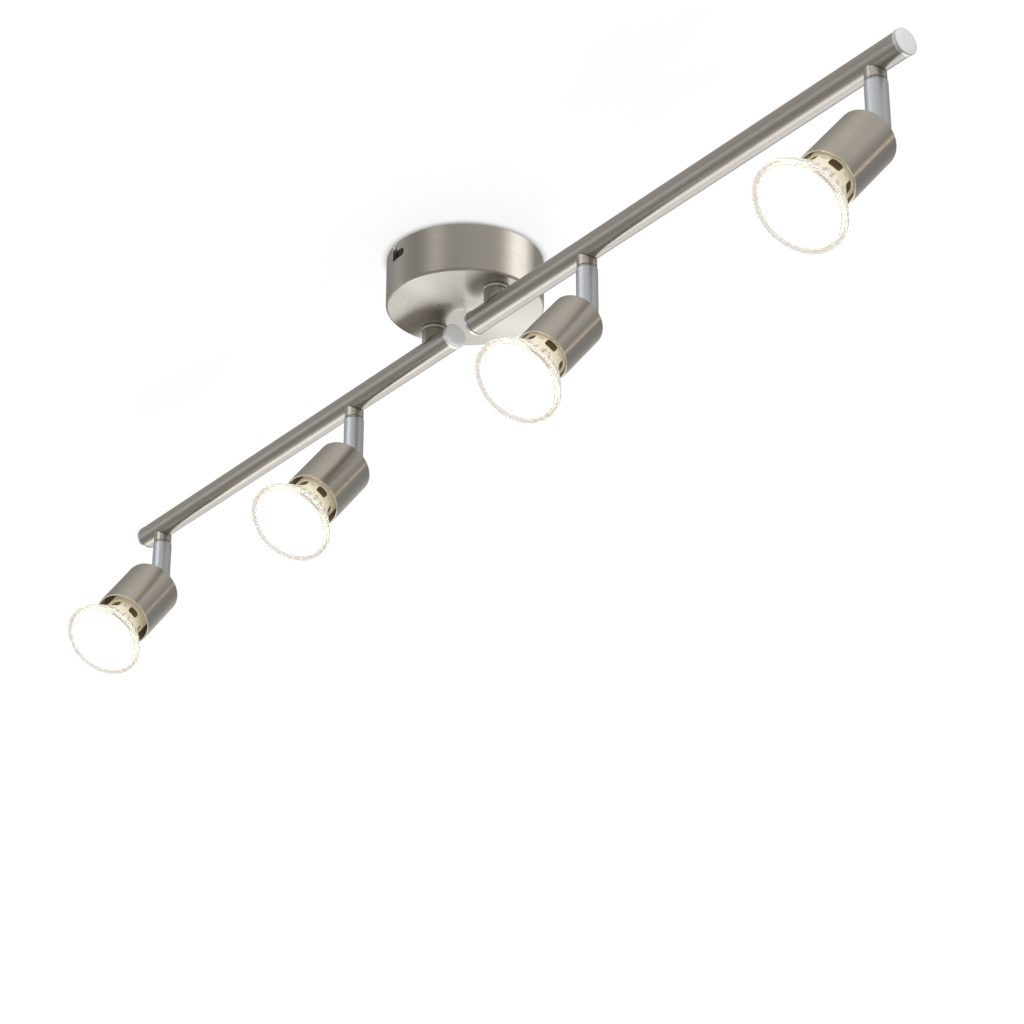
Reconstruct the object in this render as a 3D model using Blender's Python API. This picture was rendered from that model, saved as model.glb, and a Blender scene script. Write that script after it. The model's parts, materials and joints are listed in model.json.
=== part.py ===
"""Ceiling spot bar: a round canopy, two swinging arms and four adjustable spot heads.

Frame: the origin is on the ceiling, at the middle of the bracket's top face. +Z is up, +X runs
along the arms, and at rest the lamps aim down and towards -Y. Lengths are metres.

Run with: blender --background --python part.py
"""
import math

import bmesh
import bpy
from mathutils import Matrix, Vector

MM = 0.001
GAP = 0.3 * MM                    # clearance left between neighbouring pieces
EPS = 1.0 * MM                    # how far a cutter runs past the face it opens
MERGE = 0.001 * MM

# Canopy and its fixing
CANOPY_RADIUS = 45.0 * MM
CANOPY_BOTTOM = -30.0 * MM
CANOPY_TOP = -0.5 * MM            # the rim stops just short of the ceiling
CANOPY_WALL = 1.0 * MM
CANOPY_EDGE = 1.6 * MM            # radius of the rounded lower edge
SLOT_CHANNEL = (-8.3 * MM, -4.0 * MM)
SLOT_END = 3.1 * MM
SLOT_HEIGHTS = (-6.0 * MM, -11.0 * MM)
BRACKET_WIDTH = 18.0 * MM
BRACKET_REACH = 42.0 * MM         # outer face of each bent tab
BRACKET_SHEET = 1.6 * MM
BRACKET_TAB = -14.0 * MM
FIXING_SLOT = (4.6 * MM, 12.0 * MM)
FIXING_PLACE = 29.0 * MM
STUD_RADIUS = 1.8 * MM
STUD_HEAD = (3.4 * MM, 1.4 * MM)
STUD_Z = -8.5 * MM
EARTH_PLACE = 18.0 * MM
EARTH_RADIUS = 2.0 * MM
BLOCK_SIZE = (16.0 * MM, 26.0 * MM, 8.0 * MM)
BLOCK_POLES = 3
BLOCK_PITCH = 8.4 * MM
TOWER_RADIUS = 3.2 * MM
TOWER_HEIGHT = 3.2 * MM

# Arms
BAR_Z = -43.5 * MM
BAR_RADIUS = 7.0 * MM
BAR_WALL = 1.0 * MM
ARM_INNER = 8.5 * MM              # face of the inner cap
ARM_OUTER = 358.0 * MM            # face of the outer cap
CAP_RADIUS = 7.3 * MM
CAP_HEAD = 2.6 * MM
CAP_PLUG = (5.6 * MM, 6.0 * MM)
PIVOT_X = 30.0 * MM
POST_RADIUS = 7.0 * MM
RING_RADIUS = 7.6 * MM
RING_HEIGHT = 1.7 * MM
NIPPLE_RADII = (5.0 * MM, 3.5 * MM)
NIPPLE_TOP = -16.0 * MM
NIPPLE_BOTTOM = BAR_Z + 2.5 * MM
WASHER_RADIUS = 8.5 * MM
WASHER_SHEET = 1.0 * MM
NUT_ACROSS_FLATS = 14.0 * MM
NUT_HEIGHT = 5.0 * MM

# Spot heads, measured down from the bar's centre line
SPOT_PLACES = {1: -336.0 * MM, 2: -112.0 * MM, 3: 112.0 * MM, 4: 336.0 * MM}
COLLAR_RADIUS = 5.6 * MM
COLLAR_BOTTOM = 12.2 * MM
COLLAR_GROOVE = (0.7 * MM, 0.5 * MM, 0.5 * MM)   # lip height, groove height, groove depth
STEM_RADIUS = 6.0 * MM
SPIGOT_RADII = (3.5 * MM, 2.2 * MM)
SPIGOT_TOP = 3.0 * MM
TILT_DROP = 37.0 * MM
FORK_SLOT = 4.6 * MM
FORK_DEPTH = 4.4 * MM
STEM_BORE_END = TILT_DROP - FORK_DEPTH + 1.0 * MM   # the bore opens into the fork's slot
STEM_TIP = 5.8 * MM
PIN_RADIUS = 1.5 * MM
PIN_SPAN = (-5.6 * MM, 4.0 * MM)   # the pin is blind on its +X side
REST_TILT = math.radians(-40.0)   # turn about the hinge from lamp straight down
REST_PANS = {1: 19.0, 2: 12.5, 3: 4.5, 4: -5.5}   # degrees that each head is turned about +Z

# Spot heads, measured along the lamp's axis from the tilt hinge
LUG_HALF_WIDTH = 2.0 * MM
LUG_RADIUS = 3.8 * MM
FOOT = (6.0 * MM, 9.2 * MM)
CUP_BACK = 11.0 * MM
CUP_FRONT = 52.0 * MM
CUP_RADIUS = 14.5 * MM
CUP_WALL = 1.0 * MM
CUP_EDGE = 1.2 * MM
KNUCKLE_SPIGOT = (3.2 * MM, 16.5 * MM)
KNUCKLE_BORE = 1.7 * MM
HOLDER_RADIUS = 12.0 * MM
HOLDER_SPAN = (12.8 * MM, 30.7 * MM)
HOLDER_NECK = 17.0 * MM
KEY_DEPTH = 22.5 * MM             # floor of the keyhole slots
PIN_CIRCLE = 5.0 * MM
LAMP_PIN = (1.5 * MM, 2.4 * MM)   # shank and head radius
LAMP_TWIST = math.radians(25.0)
BASE_REAR = 31.0 * MM
CROWN_TOP = 58.0 * MM
CROWN_RADII = (13.1 * MM, 11.9 * MM)
CROWN_WINDOWS = 6
FIRST_WINDOW = -15.0              # degrees round the lamp from +X
WINDOW_ANGLE = math.radians(27.0)
WINDOW_SPAN = (50.6 * MM, 56.4 * MM)
LENS_BACK = 75.5 * MM
LAMP_FRONT = 78.0 * MM
LENS_RADIUS = 25.0 * MM

# Number of sides of the round pieces
SIDES_LARGE = 56
SIDES_HEAD = 24
SIDES_SMALL = 16
SIDES_TINY = 8

NICKEL = ("brushed_nickel", (0.53, 0.50, 0.46, 1.0), 0.34, 1.0)
CHROME = ("polished_chrome", (0.80, 0.81, 0.82, 1.0), 0.08, 1.0)
SATIN = ("satin_silver", (0.62, 0.65, 0.68, 1.0), 0.28, 1.0)
STEEL = ("zinc_steel", (0.60, 0.61, 0.62, 1.0), 0.35, 1.0)
BRASS = ("brass", (0.72, 0.56, 0.28, 1.0), 0.30, 1.0)
CERAMIC = ("lamp_ceramic", (0.86, 0.83, 0.76, 1.0), 0.45, 0.0)
PLASTIC = ("terminal_plastic", (0.90, 0.89, 0.86, 1.0), 0.50, 0.0)
GLASS = ("pressed_glass", (0.90, 0.91, 0.92, 1.0), 0.10, 0.0)
FROSTED = ("lit_lens", (1.00, 0.98, 0.94, 1.0), 0.30, 0.0)


# ---------------------------------------------------------------- mesh tools

def clear_scene():
    """Remove every object that the file holds."""
    for item in list(bpy.data.objects):
        bpy.data.objects.remove(item, do_unlink=True)


def finish_mesh(bm, name):
    """Turn a bmesh into a mesh with outward faces and smooth round sides."""
    bmesh.ops.remove_doubles(bm, verts=bm.verts, dist=MERGE)
    bmesh.ops.recalc_face_normals(bm, faces=bm.faces)
    mesh = bpy.data.meshes.new(name)
    bm.to_mesh(mesh)
    bm.free()
    mesh.shade_smooth()
    mesh.set_sharp_from_angle(angle=math.radians(35.0))
    return mesh


def turned(name, profile, sides):
    """Turn a closed (radius, height) outline about Z; points at radius 0 lie on the axis."""
    bm = bmesh.new()
    rings = []
    for radius, height in profile:
        if radius < MERGE:
            rings.append([bm.verts.new((0.0, 0.0, height))])
            continue
        angles = [2.0 * math.pi * step / sides for step in range(sides)]
        rings.append([bm.verts.new((radius * math.cos(a), radius * math.sin(a), height))
                      for a in angles])
    for index, ring in enumerate(rings):
        following = rings[(index + 1) % len(rings)]
        if len(ring) == 1 and len(following) == 1:
            continue
        for step in range(sides):
            ahead = (step + 1) % sides
            corners = [ring[step % len(ring)], ring[ahead % len(ring)],
                       following[ahead % len(following)], following[step % len(following)]]
            bm.faces.new(list(dict.fromkeys(corners)))
    return finish_mesh(bm, name)


def prism(name, outline, low, high):
    """Extrude a flat outline of (x, y) points from height low to height high."""
    bm = bmesh.new()
    face = bm.faces.new([bm.verts.new((x, y, low)) for x, y in outline])
    made = bmesh.ops.extrude_face_region(bm, geom=[face])
    moved = [item for item in made["geom"] if isinstance(item, bmesh.types.BMVert)]
    bmesh.ops.translate(bm, verts=moved, vec=(0.0, 0.0, high - low))
    return finish_mesh(bm, name)


def box(name, low, high):
    """A box between two corners."""
    outline = [(low[0], low[1]), (high[0], low[1]), (high[0], high[1]), (low[0], high[1])]
    return prism(name, outline, low[2], high[2])


def rod(name, radius, low, high, sides=SIDES_SMALL):
    """A plain cylinder along Z from height low to height high."""
    return turned(name, [(0.0, high), (radius, high), (radius, low), (0.0, low)], sides)


def tube(name, outer, inner, low, high, sides=SIDES_SMALL):
    """A plain tube along Z from height low to height high."""
    return turned(name, [(outer, high), (outer, low), (inner, low), (inner, high)], sides)


def placed(mesh, turn=None, shift=(0.0, 0.0, 0.0)):
    """Turn and shift a mesh in place and return it."""
    mesh.transform(Matrix.Translation(shift) @ (turn or Matrix.Identity(4)))
    return mesh


def along_x(mesh, shift=(0.0, 0.0, 0.0)):
    """Lay a piece made along Z along +X, then shift it."""
    return placed(mesh, Matrix.Rotation(math.radians(90.0), 4, "Y"), shift)


def along_y(mesh, shift=(0.0, 0.0, 0.0)):
    """Lay a piece made along Z along -Y, then shift it."""
    return placed(mesh, Matrix.Rotation(math.radians(90.0), 4, "X"), shift)


def combined(mesh, others, operation="DIFFERENCE"):
    """Apply one Boolean to a mesh with each of the other meshes in turn."""
    for other in others:
        base = bpy.data.objects.new("work_base", mesh)
        tool = bpy.data.objects.new("work_tool", other)
        for item in (base, tool):
            bpy.context.scene.collection.objects.link(item)
        modifier = base.modifiers.new("boolean", "BOOLEAN")
        modifier.operation = operation
        modifier.solver = "EXACT"
        modifier.object = tool
        graph = bpy.context.evaluated_depsgraph_get()
        result = bpy.data.meshes.new_from_object(base.evaluated_get(graph))
        result.name = mesh.name
        bpy.data.objects.remove(base, do_unlink=True)
        bpy.data.objects.remove(tool, do_unlink=True)
        mesh = result
    mesh.shade_smooth()
    mesh.set_sharp_from_angle(angle=math.radians(35.0))
    return mesh


def arc(centre, radius, start, end, steps):
    """Points on an arc, both ends included; angles are degrees."""
    points = []
    for step in range(steps + 1):
        angle = math.radians(start + (end - start) * step / steps)
        points.append((centre[0] + radius * math.cos(angle), centre[1] + radius * math.sin(angle)))
    return points


# ---------------------------------------------------------------- object tools

def empty(name, location, parent=None, turn=(0.0, 0.0, 0.0)):
    """An empty on a joint's axis, turned about X, Y and Z, that carries the pieces moving on it."""
    item = bpy.data.objects.new(name, None)
    item.empty_display_size = 10.0 * MM
    item.location = location
    item.rotation_euler = turn
    item.parent = parent
    bpy.context.scene.collection.objects.link(item)
    return item


def piece(name, mesh, finish, parent=None, location=(0.0, 0.0, 0.0), turn_z=0.0):
    """One named piece with its own material."""
    item = bpy.data.objects.new(name, mesh)
    item.location = location
    item.rotation_euler = (0.0, 0.0, turn_z)
    item.parent = parent
    bpy.context.scene.collection.objects.link(item)
    label, colour, roughness, metallic = finish
    material = bpy.data.materials.new(f"{label}_{name}")
    material.use_nodes = True
    shader = material.node_tree.nodes["Principled BSDF"]
    shader.inputs["Base Color"].default_value = colour
    shader.inputs["Roughness"].default_value = roughness
    shader.inputs["Metallic"].default_value = metallic
    if not mesh.materials:
        mesh.materials.append(None)
    item.material_slots[0].link = "OBJECT"
    item.material_slots[0].material = material
    return item


# ---------------------------------------------------------------- canopy

def bayonet_slot():
    """Cutter for the canopy's slot: a channel down from the rim and a pocket beside it."""
    top = CANOPY_TOP + EPS
    pocket_top, floor = SLOT_HEIGHTS
    round_end = (pocket_top - floor) / 2.0
    end_centre = (SLOT_END - round_end, (pocket_top + floor) / 2.0)
    outline = [(SLOT_CHANNEL[0], top), (SLOT_CHANNEL[0], floor)]
    outline += arc(end_centre, round_end, -90.0, 90.0, 8)
    outline += [(SLOT_CHANNEL[1], pocket_top), (SLOT_CHANNEL[1], top)]
    reach = CANOPY_RADIUS - 5.0 * MM
    return along_y(prism("slot", outline, reach, CANOPY_RADIUS + EPS))


def make_canopy():
    """The round cover, a spun cup open towards the ceiling."""
    inner = CANOPY_RADIUS - CANOPY_WALL
    edge_centre = (CANOPY_RADIUS - CANOPY_EDGE, CANOPY_BOTTOM + CANOPY_EDGE)
    outline = [(0.0, CANOPY_BOTTOM + CANOPY_WALL), (inner, CANOPY_BOTTOM + CANOPY_WALL),
               (inner, CANOPY_TOP), (CANOPY_RADIUS, CANOPY_TOP)]
    outline += arc(edge_centre, CANOPY_EDGE, 0.0, -90.0, 3)
    outline.append((0.0, CANOPY_BOTTOM))
    shell = turned("canopy_cover", outline, SIDES_LARGE)
    half_turn = Matrix.Rotation(math.pi, 4, "Z")
    cutters = [bayonet_slot(), placed(bayonet_slot(), half_turn)]
    for side in (-1, 1):
        hole = rod("hole", NIPPLE_RADII[0] + GAP, CANOPY_BOTTOM - EPS, CANOPY_BOTTOM + 3.0 * EPS)
        half_side = Matrix.Rotation(math.pi / SIDES_SMALL, 4, "Z")
        cutters.append(placed(hole, half_side, (side * PIVOT_X, 0.0, 0.0)))
    piece("canopy_cover", combined(shell, cutters), NICKEL)


def make_bracket():
    """The steel strip on the ceiling, with a tab bent down at each end."""
    half = BRACKET_WIDTH / 2.0
    bend = 1.2 * MM
    inner_y = BRACKET_REACH - BRACKET_SHEET
    outline = [(BRACKET_REACH, BRACKET_TAB), (inner_y, BRACKET_TAB), (inner_y, -BRACKET_SHEET),
               (-inner_y, -BRACKET_SHEET), (-inner_y, BRACKET_TAB), (-BRACKET_REACH, BRACKET_TAB)]
    outline += arc((-BRACKET_REACH + bend, -bend), bend, 180.0, 90.0, 3)
    outline += arc((BRACKET_REACH - bend, -bend), bend, 90.0, 0.0, 3)
    turn = Matrix.Rotation(math.radians(90.0), 4, "Z") @ Matrix.Rotation(math.radians(90.0), 4, "X")
    strip = placed(prism("ceiling_bracket", outline, -half, half), turn)
    cutters = [rod("hole", EARTH_RADIUS + GAP, -2.0 * BRACKET_SHEET, EPS, SIDES_TINY)]
    placed(cutters[0], shift=(0.0, EARTH_PLACE, 0.0))
    width, length = FIXING_SLOT
    straight = (length - width) / 2.0
    for side in (-1, 1):
        outline = arc((0.0, straight), width / 2.0, 0.0, 180.0, 6)
        outline += arc((0.0, -straight), width / 2.0, 180.0, 360.0, 6)
        slot = prism("fixing_slot", outline, -2.0 * BRACKET_SHEET, EPS)
        cutters.append(placed(slot, shift=(0.0, side * FIXING_PLACE, 0.0)))
        hole = rod("stud_hole", STUD_RADIUS + GAP, -EPS, 2.0 * BRACKET_SHEET, SIDES_TINY)
        turn = Matrix.Rotation(math.radians(-90.0), 4, "X")
        cutters.append(placed(hole, turn, (0.0, side * BRACKET_REACH - (side + 1) * EPS, STUD_Z)))
    piece("ceiling_bracket", combined(strip, cutters), STEEL)


def make_studs():
    """The shoulder studs in the tabs, which sit in the pockets of the canopy's slots."""
    head_radius, head_height = STUD_HEAD
    head_front = BRACKET_REACH - BRACKET_SHEET - GAP
    tip = CANOPY_RADIUS - 0.3 * MM
    outline = [(0.0, tip), (STUD_RADIUS - 0.3 * MM, tip), (STUD_RADIUS, tip - 0.3 * MM),
               (STUD_RADIUS, head_front), (head_radius, head_front),
               (head_radius, head_front - head_height), (0.0, head_front - head_height)]
    for side, place in ((1, "front"), (-1, "back")):
        mesh = along_y(turned(f"cover_stud_{place}", outline, SIDES_TINY), (0.0, 0.0, STUD_Z))
        if side < 0:
            placed(mesh, Matrix.Rotation(math.pi, 4, "Z"))
        piece(f"cover_stud_{place}", mesh, STEEL)


def make_terminal_block():
    """The three-pole terminal block under the bracket, screw towers down."""
    size_x, size_y, size_z = BLOCK_SIZE
    top = -BRACKET_SHEET - GAP
    base = top - size_z
    block = box("terminal_block", (-size_x / 2.0, -size_y / 2.0, base),
                (size_x / 2.0, size_y / 2.0, top))
    towers = []
    cutters = []
    for pole in range(BLOCK_POLES):
        y = (pole - (BLOCK_POLES - 1) / 2.0) * BLOCK_PITCH
        tower = rod("tower", TOWER_RADIUS, base - TOWER_HEIGHT, base + EPS, SIDES_TINY)
        towers.append(placed(tower, shift=(0.0, y, 0.0)))
        screw = rod("screw_well", TOWER_RADIUS - 1.2 * MM, base - TOWER_HEIGHT - EPS,
                    base - TOWER_HEIGHT + 2.0 * MM, 8)
        cutters.append(placed(screw, shift=(0.0, y, 0.0)))
        wire = rod("wire_way", 1.7 * MM, -size_x, size_x, 8)
        cutters.append(along_x(wire, (0.0, y, base + size_z / 2.0)))
    block = combined(combined(block, towers, "UNION"), cutters)
    piece("terminal_block", block, PLASTIC)


def make_earth_screw():
    """The earth screw through the bracket, with its slotted cheese head below."""
    head_top = -BRACKET_SHEET - GAP
    head_bottom = head_top - 2.4 * MM
    head_radius = 3.6 * MM
    outline = [(0.0, -0.2 * MM), (EARTH_RADIUS, -0.2 * MM), (EARTH_RADIUS, head_top),
               (head_radius, head_top), (head_radius, head_bottom + 0.5 * MM),
               (head_radius - 0.5 * MM, head_bottom), (0.0, head_bottom)]
    screw = turned("earth_screw", outline, SIDES_TINY)
    slot = box("slot", (-0.5 * MM, -5.0 * MM, head_bottom - EPS), (0.5 * MM, 5.0 * MM, head_bottom + EPS))
    piece("earth_screw", combined(screw, [slot]), BRASS, location=(0.0, EARTH_PLACE, 0.0))


def make_pivot_seats():
    """The chrome ring under the canopy and the friction washer above its floor, at each post."""
    bore = NIPPLE_RADII[0] + GAP
    ring_top = CANOPY_BOTTOM - GAP
    bevel = 0.4 * MM
    ring = turned("pivot_ring", [(bore, ring_top), (RING_RADIUS, ring_top),
                                 (RING_RADIUS, ring_top - RING_HEIGHT + bevel),
                                 (RING_RADIUS - bevel, ring_top - RING_HEIGHT),
                                 (bore, ring_top - RING_HEIGHT)], SIDES_SMALL)
    floor = CANOPY_BOTTOM + CANOPY_WALL + GAP
    washer = tube("friction_washer", WASHER_RADIUS, bore, floor, floor + WASHER_SHEET)
    for side, hand in ((-1, "left"), (1, "right")):
        piece(f"pivot_ring_{hand}", ring, CHROME, location=(side * PIVOT_X, 0.0, 0.0))
        piece(f"friction_washer_{hand}", washer, STEEL, location=(side * PIVOT_X, 0.0, 0.0))


# ---------------------------------------------------------------- arms

def bar_cutter():
    """A rod along X that leaves the clearance of a saddle round the bar."""
    return along_x(rod("saddle", BAR_RADIUS + GAP, -4.0 * BAR_RADIUS, 4.0 * BAR_RADIUS, SIDES_HEAD))


def make_arm_meshes():
    """Meshes of one arm's pieces, with the pivot axis at x = 0 and the bar's centre at z = 0."""
    inner_end = ARM_INNER + CAP_HEAD + GAP - PIVOT_X
    outer_end = ARM_OUTER - CAP_HEAD - GAP - PIVOT_X
    bar = along_x(tube("arm_tube", BAR_RADIUS, BAR_RADIUS - BAR_WALL, inner_end, outer_end, SIDES_HEAD))
    cutters = [rod("pivot_hole", NIPPLE_RADII[0] + GAP, 0.0, 2.0 * BAR_RADIUS)]
    for place in SPOT_PLACES.values():
        if place > 0.0:
            hole = rod("spot_hole", SPIGOT_RADII[0] + GAP, -2.0 * BAR_RADIUS, 0.0)
            cutters.append(placed(hole, shift=(place - PIVOT_X, 0.0, 0.0)))
    bar = combined(bar, cutters)

    bevel = 0.6 * MM
    plug_radius, plug_length = CAP_PLUG
    plug_end = -CAP_HEAD - plug_length
    cap = turned("end_cap", [(0.0, 0.0), (CAP_RADIUS - bevel, 0.0), (CAP_RADIUS, -bevel),
                             (CAP_RADIUS, -CAP_HEAD), (plug_radius, -CAP_HEAD),
                             (plug_radius, plug_end), (0.0, plug_end)], SIDES_HEAD)
    outer_cap = along_x(cap.copy(), (ARM_OUTER - PIVOT_X, 0.0, 0.0))
    inner_cap = placed(along_x(cap), Matrix.Rotation(math.pi, 4, "Z"), (ARM_INNER - PIVOT_X, 0.0, 0.0))

    post_top = CANOPY_BOTTOM - RING_HEIGHT - 2.0 * GAP - BAR_Z
    post = tube("pivot_post", POST_RADIUS, NIPPLE_RADII[0] + GAP, 0.0, post_top, SIDES_HEAD)
    post = combined(post, [bar_cutter()])
    nipple = tube("pivot_nipple", *NIPPLE_RADII, NIPPLE_BOTTOM - BAR_Z, NIPPLE_TOP - BAR_Z)

    seat = CANOPY_BOTTOM + CANOPY_WALL + WASHER_SHEET + 2.0 * GAP - BAR_Z
    corner = NUT_ACROSS_FLATS / math.sqrt(3.0)
    nut = turned("lock_nut", [(0.0, seat + NUT_HEIGHT), (corner, seat + NUT_HEIGHT), (corner, seat),
                              (0.0, seat)], 6)
    nut = combined(nut, [rod("nut_bore", NIPPLE_RADII[0] + GAP, seat - EPS, seat + NUT_HEIGHT + EPS)])
    return {"arm_tube": (bar, NICKEL), "outer_cap": (outer_cap, CHROME), "inner_cap": (inner_cap, CHROME),
            "pivot_post": (post, NICKEL), "pivot_nipple": (nipple, BRASS), "lock_nut": (nut, BRASS)}


def make_arms():
    """Both arms; the left one is the right one turned half round its own pivot."""
    meshes = make_arm_meshes()
    pivots = {}
    for side, hand in ((-1, "left"), (1, "right")):
        pivot = empty(f"arm_{hand}_axis", (side * PIVOT_X, 0.0, BAR_Z))
        for label, (mesh, finish) in meshes.items():
            turn = math.pi if side < 0 else 0.0
            piece(f"{label}_{hand}", mesh, finish, pivot, turn_z=turn)
        pivots[hand] = pivot
    return pivots


# ---------------------------------------------------------------- spot heads

def collar_mesh():
    """The short collar under the bar, saddled to it, with a fine groove near its lower end."""
    lip, groove, depth = COLLAR_GROOVE
    bore = SPIGOT_RADII[0] + GAP
    bottom = -COLLAR_BOTTOM
    outline = [(bore, 0.0), (COLLAR_RADIUS, 0.0), (COLLAR_RADIUS, bottom + lip + groove),
               (COLLAR_RADIUS - depth, bottom + lip + groove), (COLLAR_RADIUS - depth, bottom + lip),
               (COLLAR_RADIUS, bottom + lip), (COLLAR_RADIUS, bottom), (bore, bottom)]
    return combined(turned("collar", outline, SIDES_SMALL), [bar_cutter()])


def stem_mesh():
    """The stem: a hollow spigot up into the bar, a round body, and a fork at the tilt hinge."""
    spigot, bore = SPIGOT_RADII
    shoulder = -COLLAR_BOTTOM - GAP
    tip = -TILT_DROP - STEM_TIP
    round_tip = 2.6 * MM
    outline = [(0.0, -STEM_BORE_END), (bore, -STEM_BORE_END), (bore, -SPIGOT_TOP), (spigot, -SPIGOT_TOP),
               (spigot, shoulder), (STEM_RADIUS - GAP, shoulder), (STEM_RADIUS, shoulder - GAP)]
    outline += arc((STEM_RADIUS - round_tip, tip + round_tip), round_tip, 0.0, -90.0, 2)
    outline.append((0.0, tip))
    slot = box("fork_slot", (-FORK_SLOT / 2.0, -2.0 * STEM_RADIUS, tip - EPS),
               (FORK_SLOT / 2.0, 2.0 * STEM_RADIUS, -TILT_DROP + FORK_DEPTH))
    hole = along_x(rod("pin_hole", PIN_RADIUS + GAP, -2.0 * STEM_RADIUS, PIN_SPAN[1] + GAP, SIDES_TINY),
                   (0.0, 0.0, -TILT_DROP))
    return combined(turned("stem", outline, SIDES_SMALL), [slot, hole])


def hinge_pin_mesh():
    """The pin through the fork and the lug, along X, with its ends bevelled."""
    bevel = 0.3 * MM
    start, end = PIN_SPAN
    outline = [(0.0, end), (PIN_RADIUS - bevel, end), (PIN_RADIUS, end - bevel),
               (PIN_RADIUS, start + bevel), (PIN_RADIUS - bevel, start), (0.0, start)]
    return along_x(turned("hinge_pin", outline, SIDES_TINY))


def knuckle_mesh():
    """The lug on the hinge pin, its foot behind the cup and its hollow spigot into the lampholder."""
    foot_radius, foot_back = FOOT
    foot_front = CUP_BACK - GAP
    spigot_radius, spigot_end = KNUCKLE_SPIGOT
    foot = turned("knuckle", [(0.0, -foot_back), (foot_radius, -foot_back), (foot_radius, -foot_front),
                              (spigot_radius, -foot_front), (spigot_radius, -spigot_end),
                              (KNUCKLE_BORE, -spigot_end), (KNUCKLE_BORE, -foot_front),
                              (0.0, -foot_front)], SIDES_SMALL)
    outline = arc((0.0, 0.0), LUG_RADIUS, 0.0, 180.0, 10)
    outline += [(-LUG_RADIUS, -foot_back - 0.5 * MM), (LUG_RADIUS, -foot_back - 0.5 * MM)]
    lug = prism("lug", outline, -LUG_HALF_WIDTH, LUG_HALF_WIDTH)
    turn = Matrix.Rotation(math.radians(90.0), 4, "Z") @ Matrix.Rotation(math.radians(90.0), 4, "X")
    hole = along_x(rod("pin_hole", PIN_RADIUS + GAP, -STEM_RADIUS, STEM_RADIUS, SIDES_TINY))
    return combined(combined(foot, [placed(lug, turn)], "UNION"), [hole])


def cup_mesh():
    """The spun cup that hides the lampholder, open at the front."""
    inner = CUP_RADIUS - CUP_WALL
    floor = -CUP_BACK - 1.2 * CUP_WALL
    hole = KNUCKLE_SPIGOT[0] + GAP
    lip = 0.3 * MM
    outline = [(hole, floor), (inner, floor), (inner, -CUP_FRONT), (CUP_RADIUS - lip, -CUP_FRONT),
               (CUP_RADIUS, -CUP_FRONT + lip)]
    outline += arc((CUP_RADIUS - CUP_EDGE, -CUP_BACK - CUP_EDGE), CUP_EDGE, 0.0, 90.0, 2)
    outline.append((hole, -CUP_BACK))
    return turned("cup", outline, SIDES_HEAD)


def key_slot(start, end):
    """Cutter for one of the lampholder's curved slots, between two angles on the pin circle."""
    half = LAMP_PIN[1] + 1.2 * GAP
    steps = 5
    outline = arc((0.0, 0.0), PIN_CIRCLE + half, start, end, steps)
    angle = math.radians(end)
    centre = (PIN_CIRCLE * math.cos(angle), PIN_CIRCLE * math.sin(angle))
    outline += arc(centre, half, end, end + 180.0, 6)[1:-1]
    outline += arc((0.0, 0.0), PIN_CIRCLE - half, end, start, steps)
    angle = math.radians(start)
    centre = (PIN_CIRCLE * math.cos(angle), PIN_CIRCLE * math.sin(angle))
    outline += arc(centre, half, start + 180.0, start + 360.0, 6)[1:-1]
    return prism("key_slot", outline, -HOLDER_SPAN[1] - EPS, -KEY_DEPTH)


def lampholder_mesh():
    """The ceramic lampholder, with its two keyhole slots at the front."""
    rear, front = HOLDER_SPAN
    bore = KNUCKLE_SPIGOT[0] + GAP
    bevel = 1.0 * MM
    outline = [(0.0, -HOLDER_NECK), (bore, -HOLDER_NECK), (bore, -rear), (HOLDER_RADIUS - bevel, -rear),
               (HOLDER_RADIUS, -rear - bevel), (HOLDER_RADIUS, -front), (0.0, -front)]
    twist = math.degrees(LAMP_TWIST)
    cutters = [key_slot(locked - twist - 1.0, locked + 1.0) for locked in (0.0, 180.0)]
    return combined(turned("lampholder", outline, SIDES_SMALL), cutters)


def lamp_base_mesh():
    """The lamp's ceramic base: two pins behind, and a crown with six windows in front."""
    outer, inner = CROWN_RADII
    rear_radius = 10.6 * MM
    step = 37.0 * MM
    shoulder = 39.0 * MM
    recess = 48.0 * MM
    outline = [(0.0, -BASE_REAR), (rear_radius, -BASE_REAR), (rear_radius, -step),
               (outer - 0.4 * MM, -shoulder), (outer, -shoulder - 0.6 * MM), (outer, -CROWN_TOP),
               (inner, -CROWN_TOP), (inner, -recess), (0.0, -recess)]
    base = turned("lamp_base", outline, SIDES_HEAD)
    shank, head = LAMP_PIN
    pin_tip = BASE_REAR - 7.0 * MM
    pin_outline = [(0.0, -BASE_REAR - EPS), (shank, -BASE_REAR - EPS), (shank, -pin_tip - 3.0 * MM),
                   (head, -pin_tip - 2.6 * MM), (head, -pin_tip), (0.0, -pin_tip)]
    pins = []
    for side in (-1, 1):
        pins.append(placed(turned("lamp_pin", pin_outline, SIDES_TINY), shift=(side * PIN_CIRCLE, 0.0, 0.0)))
    near, far = WINDOW_SPAN
    windows = []
    for index in range(CROWN_WINDOWS):
        middle = FIRST_WINDOW + 360.0 * index / CROWN_WINDOWS
        half = math.degrees(WINDOW_ANGLE) / 2.0
        outline = arc((0.0, 0.0), outer + EPS, middle - half, middle + half, 1)
        outline += arc((0.0, 0.0), inner - 0.7 * MM, middle + half, middle - half, 1)
        windows.append(prism("window", outline, -far, -near))
    return combined(combined(base, pins, "UNION"), windows)


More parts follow.
